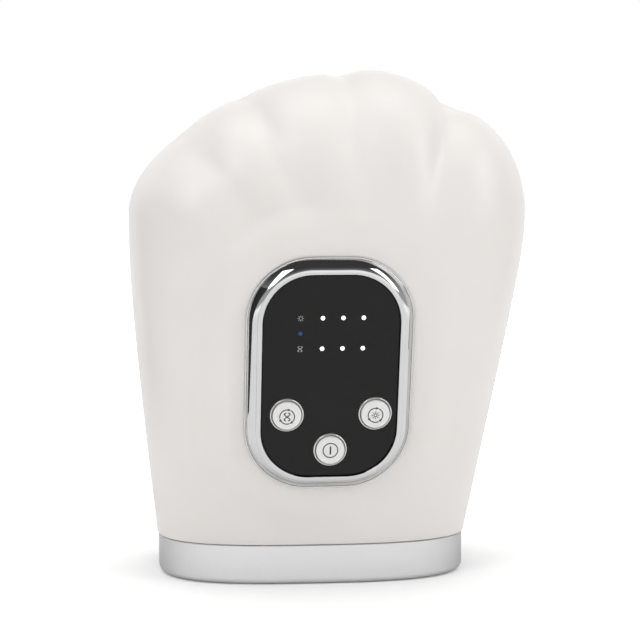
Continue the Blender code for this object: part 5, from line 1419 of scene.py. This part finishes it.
def floor():
    """A wide pale floor. With distance it glows, white for the camera and fainter for what metal mirrors."""
    circle = bpy.ops.mesh.primitive_circle_add
    ground = primitive(circle, vertices=FLOOR_POINTS, radius=FLOOR_RADIUS, fill_type="NGON")
    ground.location.z = -FLOOR_DROP
    ground.name = "floor"
    made, shader = finish("floor_white", (0.92, 0.92, 0.92), 0.9, Specular_IOR_Level=0.0)
    feed(made, shader, Emission_Color=WHITE)
    far = add(made, "ShaderNodeVectorMath", operation="LENGTH", Vector=placed(made)).outputs["Value"]
    rays = add(made, "ShaderNodeLightPath").outputs
    glows = []
    for ray, start, end, low, high in FLOOR_GLOWS:
        spread = ranged(made, far, low, high, start, end, "SMOOTHSTEP")
        glows.append(computed(made, "MULTIPLY", spread, rays[ray]))
    feed(made, shader, Emission_Strength=computed(made, "MAXIMUM", *glows))
    ground.data.materials.append(made)


def sky():
    """White for the camera and an even grey as diffuse light.

    Metal mirrors white low behind the object, and elsewhere a grey that darkens upward.
    """
    world = bpy.data.worlds.new("studio")
    bpy.context.scene.world = world
    world.use_nodes = True
    ways = add(world, "ShaderNodeTexCoord").outputs["Generated"]
    axes = add(world, "ShaderNodeSeparateXYZ", Vector=ways).outputs
    grades = []
    for axis, start, end, low, high in WORLD_GRADES:
        grades.append(ranged(world, axes[axis], low, high, start, end, "SMOOTHSTEP"))
    rays = add(world, "ShaderNodeLightPath").outputs
    level = mixed(world, computed(world, "MULTIPLY", *grades[:2]), grades[2], 1.0)
    level = mixed(world, rays["Is Diffuse Ray"], level, WORLD_DIFFUSE)
    level = mixed(world, rays["Is Camera Ray"], level, 1.0)
    feed(world, world.node_tree.nodes["Background"], Color=WHITE, Strength=level)


def flag(name, low, high, slant):
    """A dark board beside the object, only for what metal mirrors. Its front edge can slant back below."""
    board = block(low, high)
    for vert in board.data.vertices:
        if vert.co.y < (low[1] + high[1]) / 2 and vert.co.z < (low[2] + high[2]) / 2:
            vert.co.y += slant
    board.name = name
    made, shader = finish("flag_black", (0.02, 0.02, 0.02), 0.8)
    board.data.materials.append(grained(made, shader, (40.0, (0.015, 0.015, 0.015), (0.025, 0.025, 0.025))))
    board.visible_camera = False
    board.visible_diffuse = False
    board.visible_transmission = False
    board.visible_shadow = False


def camera():
    data = bpy.data.cameras.new("camera")
    data.sensor_width = SENSOR_WIDTH
    data.lens = CAMERA_LENS
    data.dof.use_dof = False
    data.clip_start, data.clip_end = CAMERA_CLIP
    made = bpy.data.objects.new("camera", data)
    bpy.context.scene.collection.objects.link(made)
    side, high = math.radians(CAMERA_SIDE), math.radians(CAMERA_HEIGHT)
    view = Vector((math.sin(side) * math.cos(high), math.cos(side) * math.cos(high), -math.sin(high)))
    made.location = Vector(CAMERA_TARGET) - view * CAMERA_DISTANCE
    made.rotation_mode = "QUATERNION"
    made.rotation_quaternion = view.to_track_quat("-Z", "Y")
    bpy.context.scene.camera = made


shells()
collar()
mouth()
cavity()
soft_parts()
bezel()
fascia()
lights()
caps()
signs()
feet()
inlet()
floor()
sky()
for board in FLAGS:
    flag(*board)
for softbox in LAMPS:
    area_lamp(*softbox)
camera()
bpy.context.scene.view_settings.view_transform = "Standard"

bpy.context.view_layer.update()
